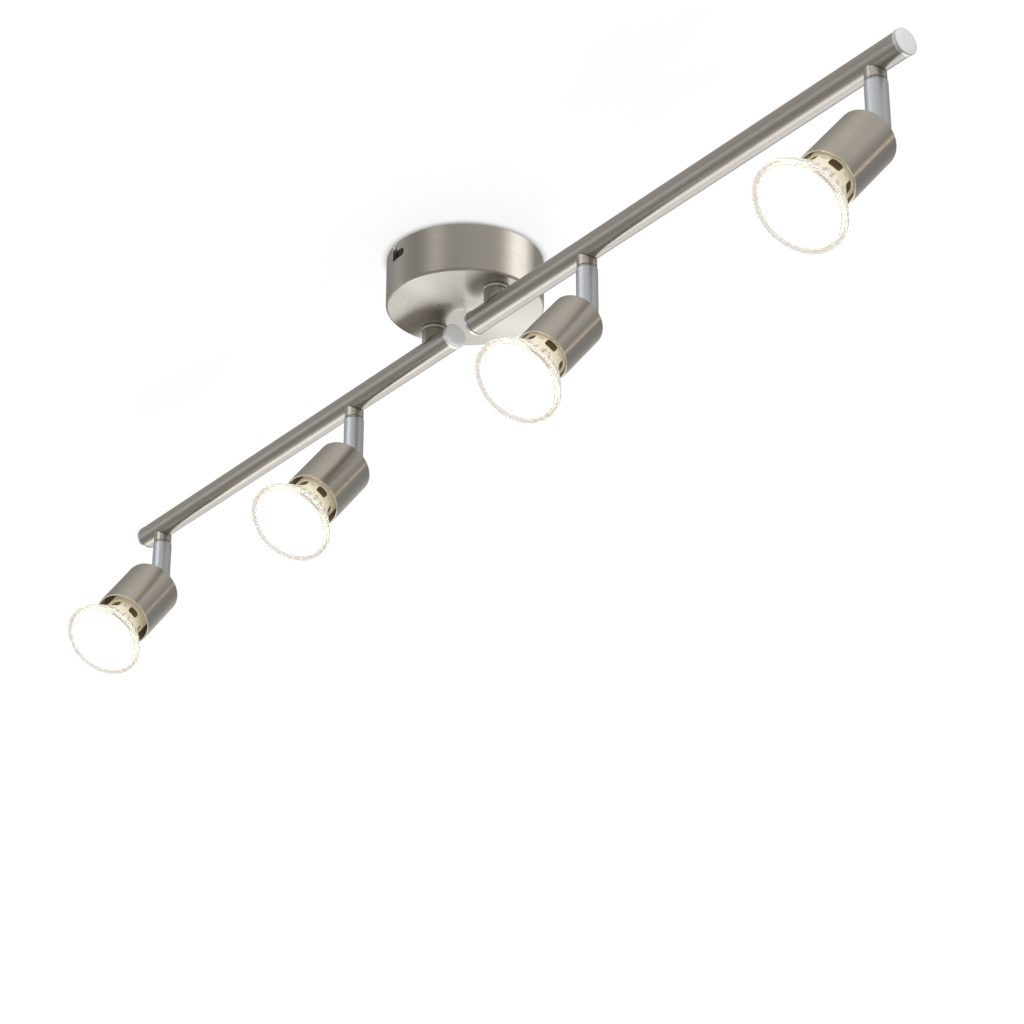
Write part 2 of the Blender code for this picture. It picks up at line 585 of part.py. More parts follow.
def reflector_outline():
    """Outer and inner outline of the pressed glass bowl, as a smooth flare from neck to rim."""
    neck_radius = CROWN_RADII[1] - 1.3 * GAP
    flare_start = CROWN_TOP + GAP
    rim = LENS_BACK - GAP
    rim_radius = LENS_RADIUS - 0.6 * MM
    wall = 1.3 * MM
    steps = 4
    outer = []
    for step in range(steps + 1):
        t = step / steps
        radius = neck_radius + (rim_radius - neck_radius) * t ** 0.72
        outer.append((radius, -(flare_start + (rim - flare_start) * t)))
    inner = [(radius - wall, height) for radius, height in reversed(outer)]
    seat = 48.0 * MM + GAP
    return ([(0.0, -seat), (neck_radius, -seat)] + outer + inner
            + [(neck_radius - wall, -seat - wall), (0.0, -seat - wall)])


def lens_mesh():
    """The lamp's front glass: a thick rounded rim round a shallow face."""
    rim = 22.2 * MM
    face = 0.4 * MM
    soft = 0.9 * MM
    outline = [(0.0, -LENS_BACK - face), (rim - face, -LENS_BACK - face), (rim, -LENS_BACK),
               (LENS_RADIUS - soft / 2.0, -LENS_BACK), (LENS_RADIUS, -LENS_BACK - soft / 2.0),
               (LENS_RADIUS, -LAMP_FRONT + soft), (LENS_RADIUS - soft, -LAMP_FRONT),
               (rim + face, -LAMP_FRONT), (rim, -LAMP_FRONT + face), (0.0, -LAMP_FRONT + face)]
    return turned("lamp_lens", outline, SIDES_HEAD)


def make_spots(pivots):
    """The four spot heads, each on its own pan, tilt and lamp axes."""
    collar = collar_mesh()
    stem = stem_mesh()
    pin = hinge_pin_mesh()
    head = {"knuckle": (knuckle_mesh(), STEEL), "cup": (cup_mesh(), NICKEL),
            "lampholder": (lampholder_mesh(), CERAMIC)}
    lamp = {"lamp_base": (lamp_base_mesh(), CERAMIC),
            "lamp_reflector": (turned("lamp_reflector", reflector_outline(), SIDES_HEAD), GLASS),
            "lamp_lens": (lens_mesh(), FROSTED)}
    for number, x in SPOT_PLACES.items():
        pivot = pivots["left" if x < 0.0 else "right"]
        along = Vector((x, 0.0, BAR_Z)) - pivot.location
        pan = empty(f"spot_{number}_pan_axis", along, pivot, (0.0, 0.0, math.radians(REST_PANS[number])))
        piece(f"spot_{number}_collar", collar, NICKEL, pivot, along)
        piece(f"spot_{number}_stem", stem, SATIN, pan)
        piece(f"spot_{number}_hinge_pin", pin, STEEL, pan, (0.0, 0.0, -TILT_DROP))
        tilt = empty(f"spot_{number}_tilt_axis", (0.0, 0.0, -TILT_DROP), pan, (REST_TILT, 0.0, 0.0))
        for label, (mesh, finish) in head.items():
            piece(f"spot_{number}_{label}", mesh, finish, tilt)
        twist = empty(f"spot_{number}_lamp_axis", (0.0, 0.0, 0.0), tilt)
        for label, (mesh, finish) in lamp.items():
            piece(f"spot_{number}_{label}", mesh, finish, twist)


def main():
    """Build the whole fitting."""
    clear_scene()
    make_bracket()
    make_canopy()
    make_studs()
    make_terminal_block()
    make_earth_screw()
    make_pivot_seats()
    make_spots(make_arms())


main()
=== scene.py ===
"""Looks of the ceiling spot bar: turned nickel, chrome, lit reflector lamps and a plain studio.

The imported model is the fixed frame. Each class below makes one sub-assembly's visible pieces in the
frame's own metres, puts them on the CAD bodies and gives them their finish. Turned pieces are
modelled about their own Z axis, so that every finish can follow the lathe marks.
"""
from __future__ import annotations

import json
import logging
import math
from dataclasses import dataclass, field
from enum import Enum
from typing import Callable, Iterable, Sequence

import bmesh
import bpy
from mathutils import Matrix, Vector

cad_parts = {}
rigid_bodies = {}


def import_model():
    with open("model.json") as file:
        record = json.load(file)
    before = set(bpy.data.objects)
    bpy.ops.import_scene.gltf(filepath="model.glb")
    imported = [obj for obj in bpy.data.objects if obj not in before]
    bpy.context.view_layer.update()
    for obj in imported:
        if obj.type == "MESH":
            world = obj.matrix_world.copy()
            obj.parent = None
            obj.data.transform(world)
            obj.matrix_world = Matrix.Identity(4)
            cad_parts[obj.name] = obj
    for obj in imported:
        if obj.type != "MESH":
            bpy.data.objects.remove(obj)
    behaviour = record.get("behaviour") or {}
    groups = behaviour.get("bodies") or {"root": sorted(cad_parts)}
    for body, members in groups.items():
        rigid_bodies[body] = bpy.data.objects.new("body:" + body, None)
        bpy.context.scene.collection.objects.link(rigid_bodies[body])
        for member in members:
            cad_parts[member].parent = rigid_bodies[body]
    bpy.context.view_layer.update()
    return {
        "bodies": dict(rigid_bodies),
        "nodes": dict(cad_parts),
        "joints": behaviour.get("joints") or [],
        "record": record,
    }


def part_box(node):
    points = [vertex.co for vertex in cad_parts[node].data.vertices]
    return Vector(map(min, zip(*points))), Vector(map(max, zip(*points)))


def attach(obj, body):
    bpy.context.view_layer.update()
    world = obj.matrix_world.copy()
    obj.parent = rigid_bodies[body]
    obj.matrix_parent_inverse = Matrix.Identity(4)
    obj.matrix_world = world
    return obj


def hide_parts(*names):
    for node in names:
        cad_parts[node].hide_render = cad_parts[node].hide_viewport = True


LOG = logging.getLogger("spot_bar")

MM = 0.001
GAP = 0.3 * MM
NIPPLE_HOLE = 5.3 * MM
SHARP_EDGE = math.radians(32.0)
TINY = 0.001 * MM
Colour = tuple[float, float, float, float]
Pair = tuple[float, float]
Outline = list[Pair]
Mesh = bpy.types.Mesh
Socket = bpy.types.NodeSocket


class Slot(Enum):
    """The record's material slots."""

    NICKEL = "nickel"
    CHROME = "chrome"
    SATIN = "satin_silver"
    ZINC = "zinc_steel"
    BRASS = "brass"
    PLASTIC = "terminal_plastic"
    CERAMIC = "ceramic"
    GLASS = "lamp_glass"
    FRONT = "lamp_front"


class Hand(Enum):
    """Which arm a piece belongs to."""

    LEFT = "left"
    RIGHT = "right"


# ---------------------------------------------------------------- outlines and meshes


def arc(centre: Pair, radius: float, start: float, end: float, steps: int) -> Outline:
    """Points on an arc, both ends included.

    Args:
        centre: the arc's centre.
        radius: its radius.
        start: first angle in degrees.
        end: last angle in degrees.
        steps: how many straight pieces it is made of.

    Returns:
        The points in order.
    """
    angles = [math.radians(start + (end - start) * step / steps) for step in range(steps + 1)]
    return [(centre[0] + radius * math.cos(a), centre[1] + radius * math.sin(a)) for a in angles]


def filleted(corners: Sequence[tuple[float, float, float]], steps: int = 5) -> Outline:
    """Round the corners of a closed outline.

    Args:
        corners: x, y and fillet radius of each corner; a radius of 0 keeps it sharp.
        steps: pieces in each rounded corner.

    Returns:
        The outline's points.
    """
    points: Outline = []
    count = len(corners)
    for index, (x, y, radius) in enumerate(corners):
        here = Vector((x, y))
        to_last = Vector(corners[index - 1][:2]) - here
        to_next = Vector(corners[(index + 1) % count][:2]) - here
        if radius <= 0.0 or to_last.length == 0.0 or to_next.length == 0.0:
            points.append((x, y))
            continue
        half = to_last.angle(to_next) / 2.0
        reach = min(radius / math.tan(half), 0.49 * to_last.length, 0.49 * to_next.length)
        first = here + to_last.normalized() * reach
        last = here + to_next.normalized() * reach
        bisector = (to_last.normalized() + to_next.normalized()).normalized()
        centre = here + bisector * (reach / math.cos(half))
        from_angle = math.atan2(first.y - centre.y, first.x - centre.x)
        sweep = math.atan2(last.y - centre.y, last.x - centre.x) - from_angle
        sweep = (sweep + math.pi) % (2.0 * math.pi) - math.pi
        size = (first - centre).length
        for step in range(steps + 1):
            angle = from_angle + sweep * step / steps
            points.append((centre.x + size * math.cos(angle), centre.y + size * math.sin(angle)))
    return points


def closed_mesh(bm: bmesh.types.BMesh, name: str) -> Mesh:
    """Turn a bmesh into a smooth-shaded mesh with outward faces.

    Args:
        bm: the bmesh, which is freed.
        name: the mesh's name.

    Returns:
        The mesh.
    """
    bmesh.ops.remove_doubles(bm, verts=bm.verts, dist=TINY)
    bmesh.ops.recalc_face_normals(bm, faces=bm.faces)
    mesh = bpy.data.meshes.new(name)
    bm.to_mesh(mesh)
    bm.free()
    mesh.shade_smooth()
    mesh.set_sharp_from_angle(angle=SHARP_EDGE)
    return mesh


def lathe(
    name: str,
    outline: Sequence[Pair],
    sides: int = 96,
    flute: Callable[[float, float, float], float] | None = None,
) -> Mesh:
    """Turn a closed outline about Z.

    Args:
        name: the mesh's name.
        outline: radius and height of each point; a radius of 0 is a point on the axis.
        sides: how many sides the piece has.
        flute: gives the radius from the angle, the radius and the height, for fluted pieces.

    Returns:
        The turned mesh.
    """
    bm = bmesh.new()
    rings = []
    for radius, height in outline:
        if radius < TINY:
            rings.append([bm.verts.new((0.0, 0.0, height))])
            continue
        ring = []
        for step in range(sides):
            angle = 2.0 * math.pi * step / sides
            size = flute(angle, radius, height) if flute else radius
            ring.append(bm.verts.new((size * math.cos(angle), size * math.sin(angle), height)))
        rings.append(ring)
    for index, ring in enumerate(rings):
        following = rings[(index + 1) % len(rings)]
        if len(ring) == 1 and len(following) == 1:
            continue
        for step in range(sides):
            ahead = (step + 1) % sides
            corners = (ring[step % len(ring)], ring[ahead % len(ring)],
                       following[ahead % len(following)], following[step % len(following)])
            bm.faces.new(list(dict.fromkeys(corners)))
    return closed_mesh(bm, name)


def prism(name: str, outline: Sequence[Pair], low: float, high: float) -> Mesh:
    """Extrude a flat outline along Z.

    Args:
        name: the mesh's name.
        outline: the x and y of its points.
        low: height of the first face.
        high: height of the second face.

    Returns:
        The closed mesh.
    """
    bm = bmesh.new()
    face = bm.faces.new([bm.verts.new((x, y, low)) for x, y in outline])
    made = bmesh.ops.extrude_face_region(bm, geom=[face])
    moved = [item for item in made["geom"] if isinstance(item, bmesh.types.BMVert)]
    bmesh.ops.translate(bm, verts=moved, vec=(0.0, 0.0, high - low))
    return closed_mesh(bm, name)


def rod(radius: float, low: float, high: float, sides: int = 64) -> Mesh:
    """A plain cylinder along Z, used as a cutter."""
    return lathe("rod", [(0.0, high), (radius, high), (radius, low), (0.0, low)], sides)


def show(item: bpy.types.Object) -> None:
    """Put an object into the scene."""
    bpy.context.scene.collection.objects.link(item)


def rotation(degrees: float, axis: str) -> Matrix:
    """A rotation about one axis."""
    return Matrix.Rotation(math.radians(degrees), 4, axis)


def moved(mesh: Mesh, matrix: Matrix) -> Mesh:
    """Transform a mesh in place and return it."""
    mesh.transform(matrix)
    return mesh


def cut(mesh: Mesh, tools: Iterable[Mesh], how: str = "DIFFERENCE") -> Mesh:
    """Apply an exact Boolean with each tool in turn.

    Args:
        mesh: the mesh to work on.
        tools: the cutters, or the pieces to join on.
        how: the Boolean's operation.

    Returns:
        The resulting mesh.
    """
    for tool in tools:
        base_item = bpy.data.objects.new("work_base", mesh)
        tool_item = bpy.data.objects.new("work_tool", tool)
        for item in (base_item, tool_item):
            show(item)
        modifier = base_item.modifiers.new("cut", "BOOLEAN")
        modifier.operation = how
        modifier.solver = "EXACT"
        modifier.object = tool_item
        graph = bpy.context.evaluated_depsgraph_get()
        result = bpy.data.meshes.new_from_object(base_item.evaluated_get(graph))
        result.name = mesh.name
        bpy.data.objects.remove(base_item, do_unlink=True)
        bpy.data.objects.remove(tool_item, do_unlink=True)
        mesh = result
    mesh.shade_smooth()
    mesh.set_sharp_from_angle(angle=SHARP_EDGE)
    return mesh


# ---------------------------------------------------------------- node helper


class Nodes:
    """A small helper that adds and links shader nodes."""

    def __init__(self, tree: bpy.types.NodeTree) -> None:
        """Keep the tree and clear it."""
        self.tree = tree
        tree.nodes.clear()

    def add(self, kind: str, **settings: object) -> bpy.types.Node:
        """Add a node and set its own properties.

        Args:
            kind: the node's type name without the ShaderNode prefix.
            settings: properties of the node.

        Returns:
            The node.
        """
        node = self.tree.nodes.new("ShaderNode" + kind)
        for key, value in settings.items():
            setattr(node, key, value)
        return node

    def feed(self, node: bpy.types.Node, **inputs: object) -> bpy.types.Node:
        """Set or link a node's inputs; an underscore in a name stands for a space.

        Args:
            node: the node.
            inputs: input names with a value, or an output socket to link.

        Returns:
            The same node.
        """
        for key, value in inputs.items():
            socket = node.inputs[int(key[1:])] if key[0] == "i" and key[1:].isdigit() \
                else node.inputs[key.replace("_", " ")]
            if isinstance(value, Socket):
                self.tree.links.new(value, socket)
            else:
                socket.default_value = value
        return node

    def math(self, operation: str, *values: object) -> Socket:
        """A Math node on values or sockets; returns its output."""
        node = self.add("Math", operation=operation)
        self.feed(node, **{f"i{index}": value for index, value in enumerate(values)})
        return node.outputs[0]

    def noise(self, scale: float, detail: float, **inputs: object) -> Socket:
        """A 3D noise; returns its factor."""
        node = self.feed(self.add("TexNoise"), Scale=scale, Detail=detail, **inputs)
        return node.outputs["Fac"]

    def span(self, value: object, low: float, high: float) -> Socket:
        """Map a 0 to 1 value to low to high; returns the result."""
        node = self.feed(self.add("MapRange"), Value=value, To_Min=low, To_Max=high)
        return node.outputs["Result"]

    def blend(self, factor: object, first: Colour, second: Colour) -> Socket:
        """Mix two colours; returns the result."""
        node = self.add("Mix", data_type="RGBA")
        self.feed(node, i0=factor, i6=first, i7=second)
        return node.outputs[2]

    def place(self) -> Socket:
        """The point's place on its piece; returns the vector."""
        return self.add("TexCoord").outputs["Object"]

    def split(self, vector: Socket) -> list[Socket]:
        """The x, y and z of a vector."""
        return list(self.feed(self.add("SeparateXYZ"), Vector=vector).outputs)

    def from_axis(self, x: Socket, y: Socket) -> Socket:
        """The distance from the Z axis; returns the result."""
        square = self.math("ADD", self.math("MULTIPLY", x, x), self.math("MULTIPLY", y, y))
        return self.math("SQRT", square)

    def bump(self, strength: float, distance: float, height: Socket) -> Socket:
        """A fine relief; returns the normal."""
        return self.feed(self.add("Bump"), Strength=strength, Distance=distance, Height=height).outputs[0]

    def output(self, shader: Socket, kind: str = "OutputMaterial") -> None:
        """Link a shader to a new output node."""
        self.feed(self.add(kind), Surface=shader)

    def surface(self, **inputs: object) -> None:
        """A principled surface as the material's output; inputs are named as in feed."""
        self.output(self.feed(self.add("BsdfPrincipled"), **inputs).outputs[0])


# ---------------------------------------------------------------- finishes


def shades(colour: Colour, spread: float) -> tuple[Colour, Colour]:
    """A darker and a lighter shade of a colour, each a given part away from it."""
    low = tuple(channel * (1.0 - spread) for channel in colour[:3]) + (1.0,)
    high = tuple(min(1.0, channel * (1.0 + spread)) for channel in colour[:3]) + (1.0,)
    return low, high


@dataclass(frozen=True)
class Finish:
    """One finish. A subclass draws the nodes; equal finishes share one material."""

    name: str
    slot: Slot

    def draw(self, nodes: Nodes) -> None:
        """Draw the material's nodes."""
        raise NotImplementedError

    def material(self) -> bpy.types.Material:
        """The Blender material, made once."""
        found = bpy.data.materials.get(self.name)
        if found:
            return found
        material = bpy.data.materials.new(self.name)
        material.use_nodes = True
        self.draw(Nodes(material.node_tree))
        return material


@dataclass(frozen=True)
class TurnedMetal(Finish):
    """Metal brushed on a lathe: fine marks run round the piece's own Z axis.

    The marks are a noise that changes fast along the axis and the radius and slowly round it. They
    drive roughness, a little colour and a fine bump, and the highlights stretch across them.
    """

    colour: Colour = (0.61, 0.575, 0.525, 1.0)
    roughness: float = 0.30
    anisotropy: float = 0.9
    mark_pitch: float = 0.35 * MM
    mark_depth: float = 0.035
    tone: float = 0.03
    across: float = 0.25

    def draw(self, nodes: Nodes) -> None:
        """Draw the lathe marks and the metal."""
        place = nodes.place()
        x, y, z = nodes.split(place)
        radius = nodes.from_axis(x, y)
        safe = nodes.math("MAXIMUM", radius, 0.1 * MM)
        per_mark = 1.0 / self.mark_pitch
        around = nodes.feed(nodes.add("CombineXYZ"),
                            X=nodes.math("DIVIDE", x, safe), Y=nodes.math("DIVIDE", y, safe),
                            Z=nodes.math("MULTIPLY", z, per_mark))
        marks = nodes.add("TexNoise", noise_dimensions="4D")
        nodes.feed(marks, Vector=around.outputs[0], W=nodes.math("MULTIPLY", radius, per_mark),
                   Scale=1.0, Detail=3.0, Roughness=0.55)
        lines = marks.outputs["Fac"]
        haze = nodes.noise(55.0, 2.0, Vector=place)
        low, high = shades(self.colour, self.tone)
        rough = nodes.math("ADD", nodes.span(lines, self.roughness - 0.10, self.roughness + 0.10),
                           nodes.span(haze, -0.03, 0.03))
        tangent = nodes.add("Tangent", direction_type="RADIAL", axis="Z")
        nodes.surface(Base_Color=nodes.blend(lines, low, high), Metallic=1.0, Roughness=rough,
                      Anisotropic=self.anisotropy, Anisotropic_Rotation=self.across,
                      Normal=nodes.bump(self.mark_depth, 0.01 * MM, lines), Tangent=tangent.outputs[0])


@dataclass(frozen=True)
class PlatedMetal(Finish):
    """Polished or plain metal without a brushing direction, with faint mottling and haze."""

    colour: Colour = (0.80, 0.81, 0.82, 1.0)
    roughness: float = 0.08
    metallic: float = 1.0
    mottle: float = 0.03
    grain: float = 260.0
    depth: float = 0.05

    def draw(self, nodes: Nodes) -> None:
        """Draw the mottled metal."""
        place = nodes.place()
        cloud = nodes.noise(self.grain, 3.0, Vector=place)
        fine = nodes.noise(self.grain * 14.0, 2.0, Vector=place)
        low, high = shades(self.colour, self.mottle)
        rough = nodes.span(cloud, max(0.02, self.roughness - self.mottle), self.roughness + self.mottle)
        nodes.surface(Base_Color=nodes.blend(cloud, low, high), Metallic=self.metallic,
                      Roughness=rough, Normal=nodes.bump(self.depth, 0.02 * MM, fine))


@dataclass(frozen=True)
class Moulded(Finish):
    """Ceramic or plastic, and the painted shade of the lamp's neck: a matt body with fine speckle and an optional
    glow, which is painted light from inside the lamp.
    """

    colour: Colour = (0.85, 0.81, 0.70, 1.0)
    roughness: float = 0.45
    speckle: float = 0.05
    grain: float = 900.0
    depth: float = 0.15
    coat: float = 0.0
    glow: Colour = (1.0, 0.86, 0.60, 1.0)
    glow_strength: float = 0.0

    def draw(self, nodes: Nodes) -> None:
        """Draw the speckled body."""
        place = nodes.place()
        cloud = nodes.noise(self.grain, 4.0, Vector=place)
        low, high = shades(self.colour, self.speckle)
        rough = nodes.span(cloud, self.roughness - 0.06, self.roughness + 0.06)
        nodes.surface(Base_Color=nodes.blend(cloud, low, high), Roughness=rough,
                      Normal=nodes.bump(self.depth, 0.03 * MM, cloud), Coat_Weight=self.coat,
                      Emission_Color=self.glow, Emission_Strength=self.glow_strength)


@dataclass(frozen=True)
class RibbedGlass(Finish):
    """Pressed glass, lit from within: bright ribs, brownish valleys that are painted shade in the rib grooves,
    and a painted glow near the neck.
    """

    bright: Colour = (0.86, 0.83, 0.74, 1.0)
    valley_shade: Colour = (0.46, 0.38, 0.25, 1.0)
    ribs: int = 32
    neck: float = -58.0 * MM
    rim: float = -75.0 * MM
    neck_light: Colour = (1.0, 0.88, 0.66, 1.0)
    rim_light: Colour = (1.0, 0.95, 0.86, 1.0)
    glow_strength: float = 0.42

    def draw(self, nodes: Nodes) -> None:
        """Draw the painted shade in the rib grooves, the painted glow and the glassy coat."""
        place = nodes.place()
        x, y, z = nodes.split(place)
        along = nodes.feed(nodes.add("MapRange"), Value=z, From_Min=self.neck, From_Max=self.rim)
        streak = nodes.noise(420.0, 3.0, Vector=place)
        turn = nodes.math("ARCTAN2", y, x)
        crest = nodes.math("ABSOLUTE", nodes.math("COSINE", nodes.math("MULTIPLY", turn, self.ribs / 2.0)))
        groove = nodes.math("POWER", nodes.math("SUBTRACT", 1.0, crest), 1.6)
        # painted shade: the grooves between the ribs get the darker valley colour and less glow
        groove_shade = nodes.math("MULTIPLY", groove, nodes.span(streak, 0.3, 1.3))
        nodes.surface(Base_Color=nodes.blend(groove_shade, self.bright, self.valley_shade), Metallic=0.15,
                      Roughness=nodes.span(streak, 0.10, 0.26), Coat_Weight=0.6, Coat_Roughness=0.05,
                      Normal=nodes.bump(0.25, 0.05 * MM, streak),
                      Emission_Color=nodes.blend(along.outputs["Result"], self.neck_light, self.rim_light),
                      Emission_Strength=nodes.span(groove_shade, self.glow_strength, 0.04))


@dataclass(frozen=True)
class RimGlass(Finish):
    """Clear pressed glass with slight waviness, for the lamp's rim, holding some of its light."""

    colour: Colour = (0.88, 0.86, 0.84, 1.0)
    warm: Colour = (1.0, 0.93, 0.84, 1.0)
    pale: Colour = (0.98, 0.94, 0.93, 1.0)
    held_light: float = 0.12

    def draw(self, nodes: Nodes) -> None:
        """Draw the wavy glass and the light in it."""
        place = nodes.place()
        wave = nodes.noise(180.0, 2.0, Vector=place)
        nodes.surface(Base_Color=self.colour, Transmission_Weight=0.6, IOR=1.5,
                      Roughness=nodes.span(wave, 0.04, 0.14), Normal=nodes.bump(0.3, 0.1 * MM, wave),
                      Emission_Color=nodes.blend(wave, self.warm, self.pale),
                      Emission_Strength=self.held_light)


@dataclass(frozen=True)
class LitFace(Finish):
    """The lit front of a lamp: white, a little warmer towards its edge, over a fine prism grid."""

    strength: float = 3.2
    radius: float = 21.5 * MM
    middle: Colour = (1.0, 0.985, 0.95, 1.0)
    edge: Colour = (1.0, 0.93, 0.78, 1.0)

    def draw(self, nodes: Nodes) -> None:
        """Draw the light and its warm edge."""
        place = nodes.place()
        x, y, _ = nodes.split(place)
        out = nodes.math("POWER", nodes.math("DIVIDE", nodes.from_axis(x, y), self.radius), 7.0)
        cells = nodes.feed(nodes.add("TexVoronoi"), Vector=place, Scale=650.0).outputs["Distance"]
        power = nodes.math("MULTIPLY", nodes.span(out, 1.0, 0.42), self.strength)
        nodes.surface(Base_Color=(0.9, 0.9, 0.88, 1.0), Roughness=nodes.span(cells, 0.2, 0.4),
                      Normal=nodes.bump(0.2, 0.1 * MM, cells), Emission_Strength=power,
                      Emission_Color=nodes.blend(out, self.middle, self.edge))


NICKEL = TurnedMetal("turned_nickel", Slot.NICKEL)
SATIN = TurnedMetal("satin_silver", Slot.SATIN, colour=(0.90, 0.905, 0.92, 1.0), roughness=0.22,
                    anisotropy=0.3, mark_depth=0.06, tone=0.02, across=0.0)
CHROME = PlatedMetal("satin_chrome", Slot.CHROME, colour=(0.88, 0.88, 0.88, 1.0), roughness=0.24,
                     metallic=0.6)
# the cup's lip: smoother metal for its polish, and a lighter, warmer colour that is painted warm light from the
# lamp
LAMP_LIT_LIP = PlatedMetal("bare_lip", Slot.NICKEL, colour=(0.90, 0.86, 0.76, 1.0), roughness=0.16)
ZINC = PlatedMetal("zinc_plate", Slot.ZINC, colour=(0.62, 0.63, 0.64, 1.0), roughness=0.36, mottle=0.08)
# near-black zinc is painted shade: the studs and bracket show through the cover's twist slots, which should look
# shaded
SLOT_SHADE_ZINC = PlatedMetal("dark_zinc", Slot.ZINC, colour=(0.07, 0.07, 0.07, 1.0), roughness=0.42, mottle=0.08)
BRASS = PlatedMetal("plain_brass", Slot.BRASS, colour=(0.72, 0.55, 0.27, 1.0), roughness=0.28, mottle=0.05)
PLASTIC = Moulded("terminal_plastic", Slot.PLASTIC, colour=(0.86, 0.85, 0.82, 1.0), roughness=0.5)
HOLDER_CERAMIC = Moulded("holder_ceramic", Slot.CERAMIC, colour=(0.80, 0.77, 0.70, 1.0))
# the crown's glow is painted light from the lamp inside it
CROWN_CERAMIC = Moulded("crown_ceramic", Slot.CERAMIC, colour=(0.88, 0.83, 0.68, 1.0), roughness=0.3,
                        coat=0.4, glow_strength=0.22)
# dark brown painted shade: the lamp's neck seen through the crown's windows
NECK_SHADE = Moulded("dark_cement", Slot.CERAMIC, colour=(0.17, 0.115, 0.055, 1.0), roughness=0.5)
LAMP_PINS = PlatedMetal("lamp_pin_metal", Slot.CERAMIC, colour=(0.70, 0.69, 0.66, 1.0), roughness=0.25)
REFLECTOR = RibbedGlass("ribbed_reflector_glass", Slot.GLASS)
RIM_GLASS = RimGlass("clear_rim_glass", Slot.FRONT)
LIT_FACE = LitFace("lit_lamp_face", Slot.FRONT)


# ---------------------------------------------------------------- workshop


@dataclass
class Workshop:
    """Places finished meshes on the frame's bodies and reports each one."""

    frame: dict
    made: int = 0

    def joint(self, name: str) -> tuple[Vector, Vector]:
        """The place and axis of a joint of the record.

        Args:
            name: the joint's name.

        Returns:
            Its position and its unit axis.
        """
        for joint in self.frame["record"]["behaviour"]["joints"]:
            if joint["name"] == name:
                return Vector(joint["pos_m"]), Vector(joint["axis"]).normalized()
        raise KeyError(name)

    def place(
        self,
        name: str,
        mesh: Mesh,
        body: str,
        finishes: Finish | Sequence[Finish],
        matrix: Matrix | None = None,
        stands_for: Sequence[str] = (),
    ) -> bpy.types.Object:
        """Add one visible piece.

        Args:
            name: the piece's name.
            mesh: its mesh, about its own Z axis if it is turned.
            body: the CAD body that it moves with.
            finishes: one finish, or one for each of the mesh's material indices.
            matrix: where it stands in the frame.
            stands_for: the CAD nodes that it replaces.

        Returns:
            The new object.
        """
        several = [finishes] if isinstance(finishes, Finish) else list(finishes)
        for finish in several:
            mesh.materials.append(finish.material())
        item = bpy.data.objects.new(name, mesh)
        item.matrix_world = matrix or Matrix.Identity(4)
        show(item)
        soften = item.modifiers.new("even_normals", "WEIGHTED_NORMAL")
        soften.keep_sharp = True
        bpy.context.view_layer.update()
        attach(item, body)
        if stands_for:
            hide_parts(*stands_for)
        self.made += 1
        LOG.info("%s on %s", name, body)
        return item

    def dress(self, node: str, finish: Finish) -> None:
        """Give a CAD node that stays in view its finish."""
        item = self.frame["nodes"][node]
        for index in range(len(item.material_slots)):
            item.material_slots[index].link = "OBJECT"
            item.material_slots[index].material = finish.material()
        LOG.info("%s dressed in %s", node, finish.name)


# ---------------------------------------------------------------- canopy


